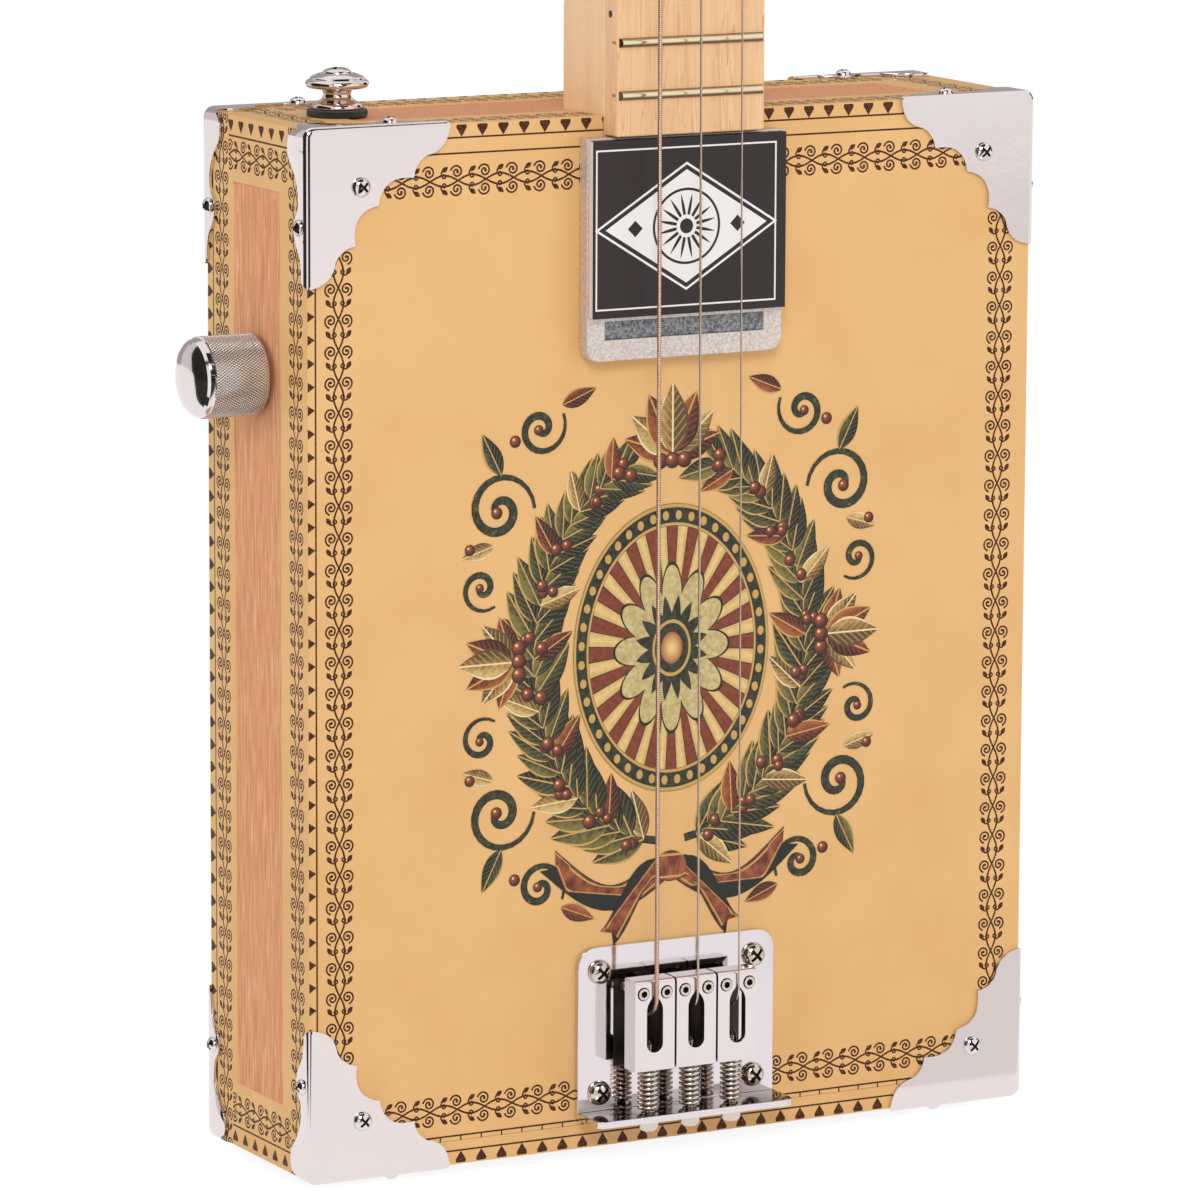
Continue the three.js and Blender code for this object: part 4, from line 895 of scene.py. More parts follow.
# fans of leaves at the top and both sides
for fan_x, fan_z, heading, size in ((0, 45, math.pi / 2, 16.5), (-41, 0, math.pi, 14.0), (41, 0, 0.0, 14.0)):
    for k, spread in enumerate((-1.25, 1.25, -0.85, 0.85, -0.42, 0.42, 0.0)):
        leaf(("rust_leaves", "gold_leaves")[(k // 2) % 2], fan_x, fan_z, heading + spread,
             size * (1 - 0.16 * abs(spread)), 1.35)
    for k in (-1, 0, 1):
        berry(fan_x - 1.5 * math.cos(heading) + 3.1 * k * math.sin(heading),
              fan_z - 1.5 * math.sin(heading) + 3.1 * k * math.cos(heading), 1.9)
# scrolls in the four corners
for sx in (-1, 1):
    for sz in (-1, 1):
        hand = sx * sz
        start = math.pi if sx > 0 else 0.0
        spiral_stroke(sx * 44.5, sz * 35.0, start, 8.2, 1.6, 1.5, hand=-hand)
        spiral_stroke(sx * 34.0, sz * 53.0, start - hand * 0.5, 6.0, 1.5, 1.25, hand=hand)
        spiral_stroke(sx * 49.0, sz * 17.5, start + hand * 0.9, 5.0, 1.4, 1.1, hand=hand)
        leaf("laurel_leaves", sx * 44.0, sz * 43.0, math.atan2(sz, sx * 0.5), 11.0, 1.1)
        leaf("gold_leaves", sx * 46.0, sz * 27.0, math.atan2(-sz * 0.3, sx), 8.5, 1.2)
        leaf("rust_leaves", sx * 28.5, sz * 58.0, math.atan2(sz * 0.4, -sx), 9.5, 1.15)
        berry(sx * 52.0, sz * 26.5, 1.3)
        berry(sx * 40.5, sz * 50.5, 1.4)

# sunburst: an oval plate of gilt and brown-red rays in a dark ring of gold dots
burst_x, burst_z = 25.5, 33.5
petal_out, petal_wave, petal_line, hub_out, hub_wave, centre_out = 0.6, 0.2, 0.025, 0.37, 0.13, 0.11
ring_from, ring_dots_at, ring_dot_high, ring_dot = 0.845, 0.92, 0.135, 0.24
burst_ink, t, shader = new_material("ink_sunburst", roughness=0.45)
axes = t.split(t.place_mm())
u = t.over(t.minus(axes[0], art_x), burst_x)
v = t.over(t.minus(axes[2], art_z), burst_z)
away = t.length(u, v)
round_by = t.over(t.calc("ARCTAN2", v, u), 2 * math.pi)


def saw(count, shift=0.0):
    """0 in the middle of each of count equal sectors, 1 at their borders."""
    part = t.calc("FRACT", t.plus(t.times(round_by, float(count)), shift + 4.0 * count))
    return t.times(t.off(part, 0.5), 2.0)


mottle = t.noise(t.place_mm(), 0.8, detail=4.0, roughness=0.65)
ray = saw(24)
gilt = t.blend(t.rescale(t.plus(ray, mottle), 0.5, 1.5), rgb(232, 198, 128), rgb(176, 128, 62))
russet = t.blend(t.rescale(mottle, 0.35, 0.65), ink_red, rgb(140, 66, 38))
tone = t.blend(t.above(ray, 0.5), gilt, russet)
tone = t.blend(line_at(ray, 0.5, 0.035), tone, ink_deep)
petal = saw(12, 0.5)
petal_edge = t.minus(petal_out, t.times(t.times(petal, petal), petal_wave))
tone = t.blend(t.below(away, petal_edge), tone, ink_deep)
tone = t.blend(t.below(away, t.minus(petal_edge, petal_line)), tone,
               t.blend(t.rescale(mottle, 0.35, 0.7), rgb(214, 196, 140), rgb(178, 150, 92)))
hub_ray = saw(16)
hub_edge = t.minus(hub_out, t.times(hub_ray, hub_wave))
tone = t.blend(t.below(away, hub_edge), tone, t.blend(t.rescale(mottle, 0.4, 0.6), ink_green, ink_deep))
tone = t.blend(line_at(away, 0.185, 0.012), tone, ink_gold)
gilt_middle = t.blend(t.rescale(away, 0.02, centre_out), rgb(236, 200, 130), ink_rust)
tone = t.blend(t.below(away, centre_out), tone, gilt_middle)
dark_ring = t.blend(t.rescale(mottle, 0.4, 0.65), ink_deep, ink_green)
tone = t.blend(t.above(away, ring_from), tone, dark_ring)
dot = t.length(t.times(saw(44), 0.5), t.over(t.minus(away, ring_dots_at), ring_dot_high))
tone = t.blend(t.below(dot, ring_dot), tone, ink_gold)
tone = t.blend(t.any(line_at(away, 0.858, 0.01), line_at(away, 0.985, 0.012)), tone, ink_gold)
t.put(shader["Base Color"], tone)
bump(t, shader, mottle, 0.05, 0.00004)
burst = decal("printed_sunburst", burst_ink, oval(burst_x, burst_z, 96))
burst.data.transform(Matrix.Translation(Vector((art_x, on_paper(), art_z)) * MM))

# band: a folded ribbon, tied where the branches cross
band_ink, t, shader = new_material("ink_band", roughness=0.5)
run_at, over, own = held_value(t, "leaf")
along_band = t.add("CombineXYZ", {0: t.times(run_at, 0.16), 1: t.times(over, 0.2)}).outputs[0]
folds = t.noise(along_band, 3.0)
tone = t.blend(t.rescale(folds, 0.35, 0.65), rgb(92, 36, 24), rgb(166, 92, 52))
edge_at = t.size(over)
tone = t.blend(t.all(t.above(edge_at, 0.62), t.below(edge_at, 0.76)), tone, ink_gold)
tone = t.blend(t.above(edge_at, 0.9), tone, ink_deep)
t.put(shader["Base Color"], tone)


def band_sides(points, wide):
    """Both edges of a ribbon of this width, from the points along its middle."""
    left_side, right_side = [], []
    for k, (px, pz) in enumerate(points):
        ahead, behind = points[min(k + 1, len(points) - 1)], points[max(k - 1, 0)]
        along = Vector((ahead[0] - behind[0], ahead[1] - behind[1])).normalized()
        square = Vector((-along.y, along.x)) * wide / 2
        left_side.append((px + square.x, pz + square.y))
        right_side.append((px - square.x, pz - square.y))
    return left_side, right_side


bands = []
knot_z = -51.0
for hand in (-1, 1):
    swept = [(hand * (2 + 30 * p), knot_z - 7 * math.sin(math.pi * p * 1.1) + 2 * p)
             for p in [k / 14 for k in range(15)]]
    hanging = [(hand * (1.5 + 15 * p), knot_z - 1 - 11 * p + 3.5 * math.sin(math.pi * p * 1.5))
               for p in [k / 12 for k in range(13)]]
    for points, wide in ((swept, 6.0), (hanging, 5.0)):
        left_side, right_side = band_sides(points, wide)
        notch = points[-2]
        strip = decal("band", band_ink, left_side + [notch] + right_side[::-1])
        values = []
        for vertex in strip.data.vertices:
            spot = (vertex.co.x / MM, vertex.co.z / MM)
            near = min(range(len(points)), key=lambda n: math.dist(points[n], spot))
            nearer_left = math.dist(left_side[near], spot) < math.dist(right_side[near], spot)
            values.append((near * 2.0, 1.0 if nearer_left else -1.0, 0.5))
        shared(strip, "leaf", values)
        strip.data.transform(Matrix.Translation(Vector((art_x, on_paper(0.004), art_z)) * MM))
        bands.append(strip)
knot = decal("band", band_ink, oval(4.2, 3.6, 24, knot_z))
shared(knot, "leaf", [(v.co.x / MM, (v.co.z / MM - knot_z) / 3.7, 0.5) for v in knot.data.vertices])
knot.data.transform(Matrix.Translation(Vector((art_x, on_paper(0.006), art_z)) * MM))
bands.append(knot)
pictures = [joined("printed_" + name, *parts) for name, parts in printed.items()]
pictures += [burst, joined("printed_band", *bands)]
for piece in pictures:
    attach(piece, "guitar")
bpy.data.objects.remove(leaf_pattern)
bpy.data.objects.remove(berry_pattern)


# Neck: one length of pale maple with a satin coat, glued into a notch of the soundboard.
# Its heel and back are rounded by hand, and the headstock drops back from the strings.
maple_tree, t, given, gives = new_group(
    "Maple grain", [("Place", "Vector"), "Depth"], [("Color", "Color"), "Height"])
slow = t.noise(t.stretched(given["Place"], (0.25, 0.25, 0.012)), 1.0, detail=3.0)
rings = t.noise(t.stretched(given["Place"], (0.16, 0.1, 0.006)), 1.0, detail=3.0, roughness=0.6)
rings = t.calc("FRACT", t.times(rings, 26.0))
wander = t.noise(t.stretched(given["Place"], (0.3, 0.3, 0.03)), 1.0, detail=2.0)
growth = t.times(t.calc("POWER", rings, 2.5), t.rescale(wander, 0.35, 0.65))
fine = t.noise(t.stretched(given["Place"], (6.0, 6.0, 0.18)), 1.0, detail=3.0)
flecks = t.noise(t.stretched(given["Place"], (5.0, 5.0, 0.55)), 1.0, detail=1.0)
tone = t.blend(t.rescale(slow, 0.3, 0.7), rgb(244, 202, 155), rgb(233, 184, 134))
tone = t.blend(t.times(t.rescale(growth, 0.1, 1.0), given["Depth"]), tone, rgb(206, 138, 88))
tone = t.blend(t.rescale(fine, 0.5, 0.85, 0.0, 0.35), tone, rgb(214, 160, 112))
tone = t.blend(t.rescale(flecks, 0.68, 0.74, 0.0, 0.55), tone, rgb(176, 116, 74))
t.put(gives["Color"], tone)
t.put(gives["Height"], t.plus(fine, flecks))


def maple_finish(name, depth, roughness, painted_light_share=0.0):
    """Satin-coated maple: depth is the strength of its growth lines, and the last number a share of pale cream
    mixed in, painted light that makes the wood lighter.
    """
    made, t, shader = new_material(name, roughness=roughness, Coat_Weight=0.15, Coat_Roughness=0.25)
    grain = t.use(maple_tree, Place=t.place_mm(), Depth=depth)
    t.put(shader["Base Color"], t.blend(painted_light_share, grain["Color"], rgb(255, 226, 178)))
    bump(t, shader, grain["Height"], 0.12, 0.00005)
    return made


# painted light: the neck's maple is made paler than the board's
maple = maple_finish("maple_satin", 0.35, 0.42, painted_light_share=0.4)
from_solid("neck", "maple_neck", maple, "maple", width=0.7, segments=3, angle=35)

# Fretboard face: a flat maple board on the neck with twenty domed nickel-silver frets pressed into it,
# and small black side dots along its bass edge.
board_top, board_foot, board_low, board_high = -31.8, -25.75, 233.8, 678.0
half_at_body, half_at_nut, nut_z, nut_thick, scale_length, fret_count = 19.05, 18.2, 678.1, 4.0, 635.0, 20
maple_board = maple_finish("maple_board", 1.0, 0.38)


def board_half(z):
    """Half the board's width at a height, from the body up to the nut."""
    return half_at_body + (half_at_nut - half_at_body) * (z - board_low) / (nut_z - board_low)


def fret_place(number):
    return nut_z - scale_length * (1 - 2 ** (-number / 12))


board = new_piece("fretboard_face", maple_board, [
    (-board_half(board_low), board_top, board_low), (board_half(board_low), board_top, board_low),
    (board_half(board_high), board_top, board_high), (-board_half(board_high), board_top, board_high)])
drawn_out(board, (0, board_foot - board_top, 0))
finish_edges(board, width=0.45, segments=3, angle=40)

# pale gold on the crown, and painted shade on both flanks: dark brown on the lower one, browner on the upper
# one
nickel, t, shader = new_material("nickel_silver", roughness=0.16, metallic=1.0)
tilt = t.facing()[2]
underside_shade = t.blend(t.rescale(tilt, -0.1, -0.5), rgb(238, 222, 188), rgb(124, 98, 76))
t.put(shader["Base Color"], t.blend(t.rescale(tilt, 0.6, 0.95), underside_shade, rgb(150, 124, 98)))
crown_half, crown_high, fret_short, fret_lean = 1.05, 1.1, 0.45, 0.55
crown = [(math.cos(math.pi * k / 8) * crown_half, math.sin(math.pi * k / 8) * crown_high) for k in range(9)]
frets = []
for number in range(1, fret_count + 1):
    fret_z = fret_place(number)
    reach = board_half(fret_z) - fret_short
    fret = new_piece("fret", nickel, [(-reach, board_top + 0.05 - h, fret_z + across) for across, h in crown])
    drawn_out(fret, (2 * reach, 0, 0))
    for vertex in fret.data.vertices:
        high = (board_top * MM - vertex.co.y) / MM
        vertex.co.x -= math.copysign(max(high, 0) * fret_lean * MM, vertex.co.x)
    frets.append(fret)
frets = joined("frets", *frets)
choose(frets)
bpy.ops.object.shade_smooth_by_angle(angle=math.radians(35))
dot_black = new_material("dot_black", 0.35, 0.0, rgb(24, 20, 18))[0]
dots = []
dot_apart, dot_down = 3.0, 3.3
for number, shift in ((3, 0), (5, 0), (7, 0), (9, 0), (12, -dot_apart), (12, dot_apart),
                      (15, 0), (17, 0), (19, 0)):
    dot_z = (fret_place(number) + fret_place(number - 1)) / 2
    dots.append(spun("dot", dot_black, [(0, 0.04), (0.85, 0.04), (0.95, -0.3), (0, -0.3)],
                     (-board_half(dot_z), board_top + dot_down, dot_z + shift), (-1, 0, 0), steps=16))
dots = joined("side_dots", *dots)
brown_end = new_material("sealed_slot", 0.5, 0.0, rgb(176, 116, 66))[0]
tang_half, tang_high, tang_low, tang_deep, tang_proud = 0.3, 0.6, 2.3, 0.3, 0.012
tang_corners = ((tang_high, -tang_half), (tang_high, tang_half), (tang_low, tang_half), (tang_low, -tang_half))
tangs = []
for number in range(1, fret_count + 1):
    fret_z = fret_place(number)
    for hand in (-1, 1):
        at_side = hand * (board_half(fret_z) + tang_proud)
        tang = new_piece("tang", brown_end, [(at_side, board_top + high, fret_z + wide)
                                             for high, wide in tang_corners])
        drawn_out(tang, (-hand * tang_deep, 0, 0))
        tangs.append(tang)
tangs = joined("fret_slot_ends", *tangs)
for piece in (board, frets, dots, tangs):
    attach(piece, "guitar")
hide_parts("fretboard")

# Nut: a small bar of polished bone, glued across the end of the fretboard.
# Each string runs over it in a slot of its own.
bone, t, shader = new_material("polished_bone", roughness=0.3, Subsurface_Weight=0.05)
place = t.place_mm()
cloud = t.noise(place, 0.4, detail=4.0)
t.put(shader["Base Color"], t.blend(t.rescale(cloud, 0.35, 0.7), rgb(240, 232, 212), rgb(224, 212, 186)))
bump(t, shader, t.noise(place, 4.0), 0.1, 0.00004)
from_solid("nut", "bone_nut", bone, "bone", width=0.25, segments=2)


# Pickup: a flat cast case with a hammered grey finish, screwed on from below, with a recessed dark bar.
# A black card with a white printed frame covers its upper part.
case_grey, t, shader = new_material("hammered_grey", metallic=0.45)
place = t.place_mm()
spots = t.noise(place, 1.5, detail=3.0, roughness=0.7)
cells = t.add("TexVoronoi", {"Vector": place, "Scale": 1.3}, feature="SMOOTH_F1").outputs["Distance"]
axes = t.split(place)
bar_half, bar_low, bar_high, bar_face = 20.45, 187.65, 191.85, -29.35
in_bar = t.all(t.below(t.size(axes[0]), bar_half), t.above(axes[2], bar_low), t.below(axes[2], bar_high),
               t.above(axes[1], bar_face))
light_grey = t.blend(t.rescale(spots, 0.35, 0.65), rgb(198, 186, 178), rgb(234, 223, 216))
dark_grey = t.blend(t.rescale(spots, 0.38, 0.62), rgb(84, 87, 94), rgb(160, 158, 160))
t.put(shader["Base Color"], t.blend(in_bar, light_grey, dark_grey))
t.put(shader["Roughness"], t.rescale(spots, 0.3, 0.7, 0.5, 0.32))
bump(t, shader, t.plus(cells, spots), 0.35, 0.00015)
from_solid("pickup_case", "pickup_body", case_grey, "pickup_grey", width=0.7, segments=3, angle=50)

card_x, card_z, card_half_x, card_half_z, frame_half = -1.0, 212.9, 23.1, 18.0, 0.2
lozenge_lean, lozenge_half, lozenge_line_low, lozenge_line_high = 0.62, 12.9, 14.0, 14.6
heart_radius, ray_from, ray_to, ring_at, ring_half = 1.7, 2.6, 7.6, 8.4, 0.3
gem_at, gem_small = 13.2, 1.9
card, t, shader = new_material("printed_card", roughness=0.55)
place = t.place_mm()
axes = t.split(place)
facing = t.facing()
cx, cz = t.minus(axes[0], card_x), t.minus(axes[2], card_z)
rim = t.size(t.calc("MAXIMUM", t.minus(t.size(cx), card_half_x), t.minus(t.size(cz), card_half_z)))
frame_line = t.below(rim, frame_half)
# a white lozenge with a ring, a burst of sixteen rays and two small diamonds
away = t.length(cx, cz)
angle = t.calc("ARCTAN2", cz, cx)
lozenge = t.plus(t.times(t.size(cx), lozenge_lean), t.size(cz))
field = t.below(lozenge, lozenge_half)
field_line = t.all(t.above(lozenge, lozenge_line_low), t.below(lozenge, lozenge_line_high))
rays = t.off(t.calc("FRACT", t.times(angle, 8 / math.pi)), 0.5)
burst = t.all(t.below(rays, t.minus(0.5, t.times(away, 0.066))), t.above(away, ray_from), t.below(away, ray_to))
heart = t.below(away, heart_radius)
ring_line = t.below(t.off(away, ring_at), ring_half)
small = t.below(t.plus(t.off(t.size(cx), gem_at), t.size(cz)), gem_small)
black_on_white = t.any(burst, heart, ring_line, small)
white_mark = t.any(t.all(field, t.minus(1.0, black_on_white)), field_line, frame_line)
on_face = t.below(facing[1], -0.6)
dust = t.noise(place, 6.0, detail=2.0)
ink_black = t.blend(t.rescale(dust, 0.55, 0.75), rgb(34, 22, 23), rgb(70, 54, 54))
face_color = t.blend(t.all(white_mark, on_face), ink_black, rgb(238, 234, 230))
edge_from = -31.5
edge_white = t.all(t.above(t.size(facing[0]), 0.5), t.above(axes[1], edge_from))
t.put(shader["Base Color"], t.blend(edge_white, face_color, rgb(226, 220, 214)))
t.put(shader["Roughness"], t.rescale(dust, 0.3, 0.7, 0.42, 0.6))
bump(t, shader, dust, 0.1, 0.00005)
from_solid("pickup_cover", "pickup_card", card, "card", width=0.18, segments=2)


# Bridge: a bent and chromed steel plate with a lip, held by four cross-slot screws.
# Three bent saddles stand on it, each on two grub screws and drawn back by a sprung screw.
bridge_chrome, t, shader = new_material("bridge_chrome", metallic=1.0)
place = t.place_mm()
axes = t.split(place)
# the plate is dull and painted dark where the saddles stand over it, a painted shade, and darker and mottled on
# the upward faces of its lip
shaded_half, shaded_low, shaded_high, lip_high = 16.6, 18.6, 39.0, 9.2
under = t.all(t.below(t.size(axes[0]), shaded_half), t.above(axes[2], shaded_low),
              t.below(axes[2], shaded_high))
wear = t.use(wear_tree, Place=place, Roughness=0.07, Smear=0.05)
lip_top = t.all(t.below(axes[2], lip_high), t.above(t.facing()[2], 0.3))
lip_mottle = t.noise(place, 0.09, detail=2.0)
lip_tone = t.blend(t.rescale(lip_mottle, 0.35, 0.65), rgb(120, 108, 100), rgb(196, 186, 180))
plate_tone = t.blend(lip_top, rgb(225, 218, 221), lip_tone)
# painted shade: under the saddles the plate is given a dark colour
t.put(shader["Base Color"], t.blend(under, plate_tone, rgb(72, 62, 56)))
t.put(shader["Roughness"], t.pick(under, wear["Roughness"], 0.5))
bump(t, shader, wear["Height"], 0.05, wave_depth)
from_solid("bridge_plate", "bridge_base", bridge_chrome, "chrome", width=0.55, segments=3, angle=50)
steel = plated("bright_steel", rgb(214, 202, 190), 0.12, 0.08, 0.04)
plate_face, head_radius, head_height = -27.4, 2.9, 2.2
for k in range(1, 5):
    low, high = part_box(f"bridge_screw_{k}")
    middle = (low + high) / 2 / MM
    head = dome("screw_head", steel, (middle.x, plate_face - 0.1, middle.z), (0, -1, 0),
                head_radius, head_height, steps=32)
    shank = spun("shank", steel, [(0, 0), (1.5, 0), (1.5, 12), (0, 13)],
                 (middle.x, plate_face, middle.z), (0, 1, 0), steps=16)
    screw = joined(f"plate_screw_{k}", head, shank)
    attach(screw, "guitar")
    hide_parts(f"bridge_screw_{k}")

# painted shade: the saddles' inner faces, inside the bent sheet, are given a dark colour
inside_shade = new_material("painted_inside_shade", 0.5, 0.7, rgb(74, 62, 54))[0]
string_x = [-10.85, 0.0, 10.85]
saddle_top, saddle_wall, intonation_y, tip_z = -37.0, 1.15, -34.0, 25.6
grub_x, grub_z, socket_radius = 3.0, 37.2, 0.86
screw_foot, core_radius, thread_radius, thread_pitch = 4.2, 1.12, 1.35, 0.5
for k, x_at in enumerate(string_x, start=1):
    saddle = from_solid(f"saddle_{k}", f"bent_saddle_{k}", chrome, "chrome", body=f"saddle_{k}",
                        width=0.3, segments=3, angle=40)
    saddle.data.materials.append(inside_shade)
    low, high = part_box(f"saddle_{k}")
    for face in saddle.data.polygons:
        place = face.center
        enclosed = all(low[n] + saddle_wall * MM < place[n] < high[n] - saddle_wall * MM for n in (0, 2))
        if enclosed and place.y > (saddle_top + 0.45) * MM:
            face.material_index = 1
    for hand in ("bass", "treble"):
        node = f"height_screw_{k}_{hand}"
        grub = from_solid(node, f"grub_screw_{k}_{hand}", steel, "steel", body=node, width=0.12, segments=2)
        grub.data.materials.append(painted_slot_shade)
        middle = Vector((x_at + (-grub_x if hand == "bass" else grub_x), 0, grub_z)) * MM
        # the socket's faces take the painted slot shade
        for face in grub.data.polygons:
            centre = face.center
            in_socket = math.hypot(centre.x - middle.x, centre.z - middle.z) < socket_radius * MM
            if in_socket and saddle_top - 0.3 < centre.y / MM < saddle_top + 2.0:
                face.material_index = 1
    # screw through the lip, with a domed head below it and its thread rolled in fine ridges
    profile = [(0, 0), (1.5, 0.1), (2.1, 0.6), (2.4, 1.4), (2.4, 2.6), (thread_radius, 2.6)]
    height, tip = 3.4, tip_z - screw_foot
    while height < tip - 0.8:
        profile += [(thread_radius, height), (core_radius, height + thread_pitch / 2)]
        height += thread_pitch
    profile += [(1.2, height), (0.7, tip), (0, tip)]
    driver = spun(f"length_screw_{k}", steel, profile, (x_at, intonation_y, screw_foot), (0, 0, 1),
                  steps=20, smooth=30)
    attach(driver, f"intonation_screw_{k}")
    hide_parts(f"intonation_screw_{k}")

# Coil springs: hard steel wire wound round each long screw, pressed between the lip and the saddle,
# so that the saddle always lies back against its screw.
spring_low, spring_high, wire, coil_outer, curls = 8.8, 18.7, 0.8, 2.6, 8
for k, x_at in enumerate(string_x, start=1):
    ring = [(coil_outer - wire / 2 + wire / 2 * math.cos(a), 0, wire / 2 * math.sin(a))
            for a in round_angles(10)]
    spring = new_piece(f"coil_spring_{k}", steel, ring, filled=False)
    winding = spring.modifiers.new("winding", "SCREW")
    winding.axis = "Z"
    winding.iterations = curls
    winding.screw_offset = (spring_high - spring_low - wire) / curls * MM
    winding.steps = winding.render_steps = 22
    winding.use_merge_vertices = False
    choose(spring)
    bpy.ops.object.modifier_apply(modifier=winding.name)
    spring.data.transform(Matrix.Translation(Vector((x_at, intonation_y, spring_low + wire / 2)) * MM))
    edit(spring)
    bpy.ops.mesh.select_all(action="SELECT")
    bpy.ops.mesh.fill_holes(sides=0)
    face_outward()
    done()
    choose(spring)
    bpy.ops.object.shade_smooth_by_angle(angle=math.radians(60))
    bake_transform(spring)
    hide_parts(f"intonation_spring_{k}")


# Strings: three of drawn steel, the bass one wound with bronze wire. Each comes up through the bridge plate,
# bends over its saddle, runs to the nut and is wound twice round its tuner post.
plain_wire, t, shader = new_material("plain_string", roughness=0.25, metallic=1.0)
place = t.place_mm()
t.put(shader["Base Color"], t.blend(t.noise(place, 0.3), rgb(222, 206, 188), rgb(186, 166, 146)))
bump(t, shader, t.noise(place, 8.0), 0.1, 0.00002)
wound_wire, t, shader = new_material("wound_string", roughness=0.3, metallic=1.0)
place = t.place_mm()
wrap_pitch = 0.42
turns = t.calc("SINE", t.times(t.split(place)[2], 2 * math.pi / wrap_pitch))
# painted shade: each wrap is darker in the groove between it and the next
t.put(shader["Base Color"], t.blend(t.rescale(turns, -1.0, 0.4), rgb(150, 112, 88), rgb(234, 206, 184)))
bump(t, shader, turns, 0.5, 0.00006)
diameters, nut_x = [0.95, 0.56, 0.43], [-10.2, 0.0, 10.2]
posts = [(-15.0, 714.1, -1), (-15.0, 756.1, -1), (15.0, 735.1, 1)]  # x, z and the way that the string winds
slot_high, break_z, hole_z, clear = 33.0, 39.1, 30.0, 0.3
ball_radius, ball_y, nut_top, post_waist = 1.8, 25.9, -33.4, 2.7
wrap_steps, wraps, wrap_gap, wrap_top = 24, 2, 0.45, -30.9
for k, x_at in enumerate(string_x):
    thick = diameters[k] / 2
    over = saddle_top - clear - thick
    finish = wound_wire if k == 0 else plain_wire
    tail = [(x_at, 24.5, hole_z), (x_at, -24.0, hole_z), (x_at, plate_face, hole_z + 0.05),
            (x_at, over + 2.6, slot_high - 0.9), (x_at, over + 0.9, slot_high + 0.6),
            (x_at, over + 0.2, slot_high + 2.1), (x_at, over, slot_high + 3.2), (x_at, over, break_z - 1.5)]
    half_round = [(ball_radius * math.sin(a), -ball_radius * math.cos(a))
                  for a in [math.pi * n / 12 for n in range(13)]]
    ball = spun("ball", steel, half_round, (x_at, ball_y, hole_z), (0, 1, 0), steps=20)
    tail = joined(f"string_tail_{k + 1}", tube("tail", finish, tail, thick), ball)
    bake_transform(tail)
    nut_y, nut_end = nut_top - thick, nut_z + nut_thick
    post_x, post_z, hand = posts[k]
    coil = post_waist + clear + thick
    toward = math.atan2(nut_end - post_z, nut_x[k] - post_x)
    away = math.hypot(nut_x[k] - post_x, nut_end - post_z)
    begin = toward - hand * math.acos(coil / away)
    long = [(x_at, over, break_z - 1.5), (x_at, over, break_z)]
    long += [(x_at + (nut_x[k] - x_at) * p, over + (nut_y - over) * p, break_z + (nut_z - break_z) * p)
             for p in [n / 40 for n in range(1, 41)]]
    long += [(nut_x[k], nut_y, nut_end)]
    for n in range(wraps * wrap_steps + 1):
        a = begin - hand * 2 * math.pi * n / wrap_steps
        down = wrap_top + thick + (diameters[k] + wrap_gap) * n / wrap_steps
        long.append((post_x + coil * math.cos(a), down, post_z + coil * math.sin(a)))
    speaking = tube(f"string_{k + 1}_length", finish, long, thick)
    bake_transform(speaking)
    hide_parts(f"string_{k + 1}")


# Volume knob: a turned brass knob, diamond-knurled round its skirt, domed at its end and chromed.
# It is pressed on the shaft of a pot that is nutted behind the bass wall.
knob_z, knob_foot, ridges, rows = 181.0, -94.5, 174, 24
knurl_low, knurl_high, ridge_high, poke_deep, groove_half, foot_radius = 0.6, 13.2, 0.24, 0.15, 0.12, 8.2
ridge_angle = 2 * math.pi / (ridges / 2)
knurled_chrome, t, shader = new_material("knurled_chrome")
place = t.place_mm()
axes = t.split(place)
angle = t.calc("ARCTAN2", t.minus(axes[2], knob_z), axes[1])
around = t.plus(t.over(angle, ridge_angle), 100.0)
ahead = t.over(t.minus(knob_foot - knurl_low, axes[0]), 2 * (knurl_high - knurl_low) / rows)
grooves = []
for way in ("ADD", "SUBTRACT"):
    share = t.calc("FRACT", t.plus(t.calc(way, around, ahead), 0.5))
    grooves.append(t.below(t.off(share, 0.5), groove_half))
cut_zone = t.all(t.above(ahead, 0.0), t.below(ahead, rows / 2))
groove_shade = t.all(t.any(*grooves), cut_zone)
wear = t.use(wear_tree, Place=place, Roughness=0.08, Smear=0.05)
# painted light: the knurl's grooves are painted dark as shade, and the skirt's plate is painted brighter than
# the dome's, a painted highlight
skirt_highlight_tone = t.blend(cut_zone, plate_white, rgb(255, 250, 246))
t.put(shader["Base Color"], t.blend(groove_shade, skirt_highlight_tone, rgb(66, 50, 40)))
t.put(shader["Roughness"], t.pick(groove_shade, wear["Roughness"], 0.4))
t.put(shader["Metallic"], t.pick(cut_zone, 1.0, 0.6))
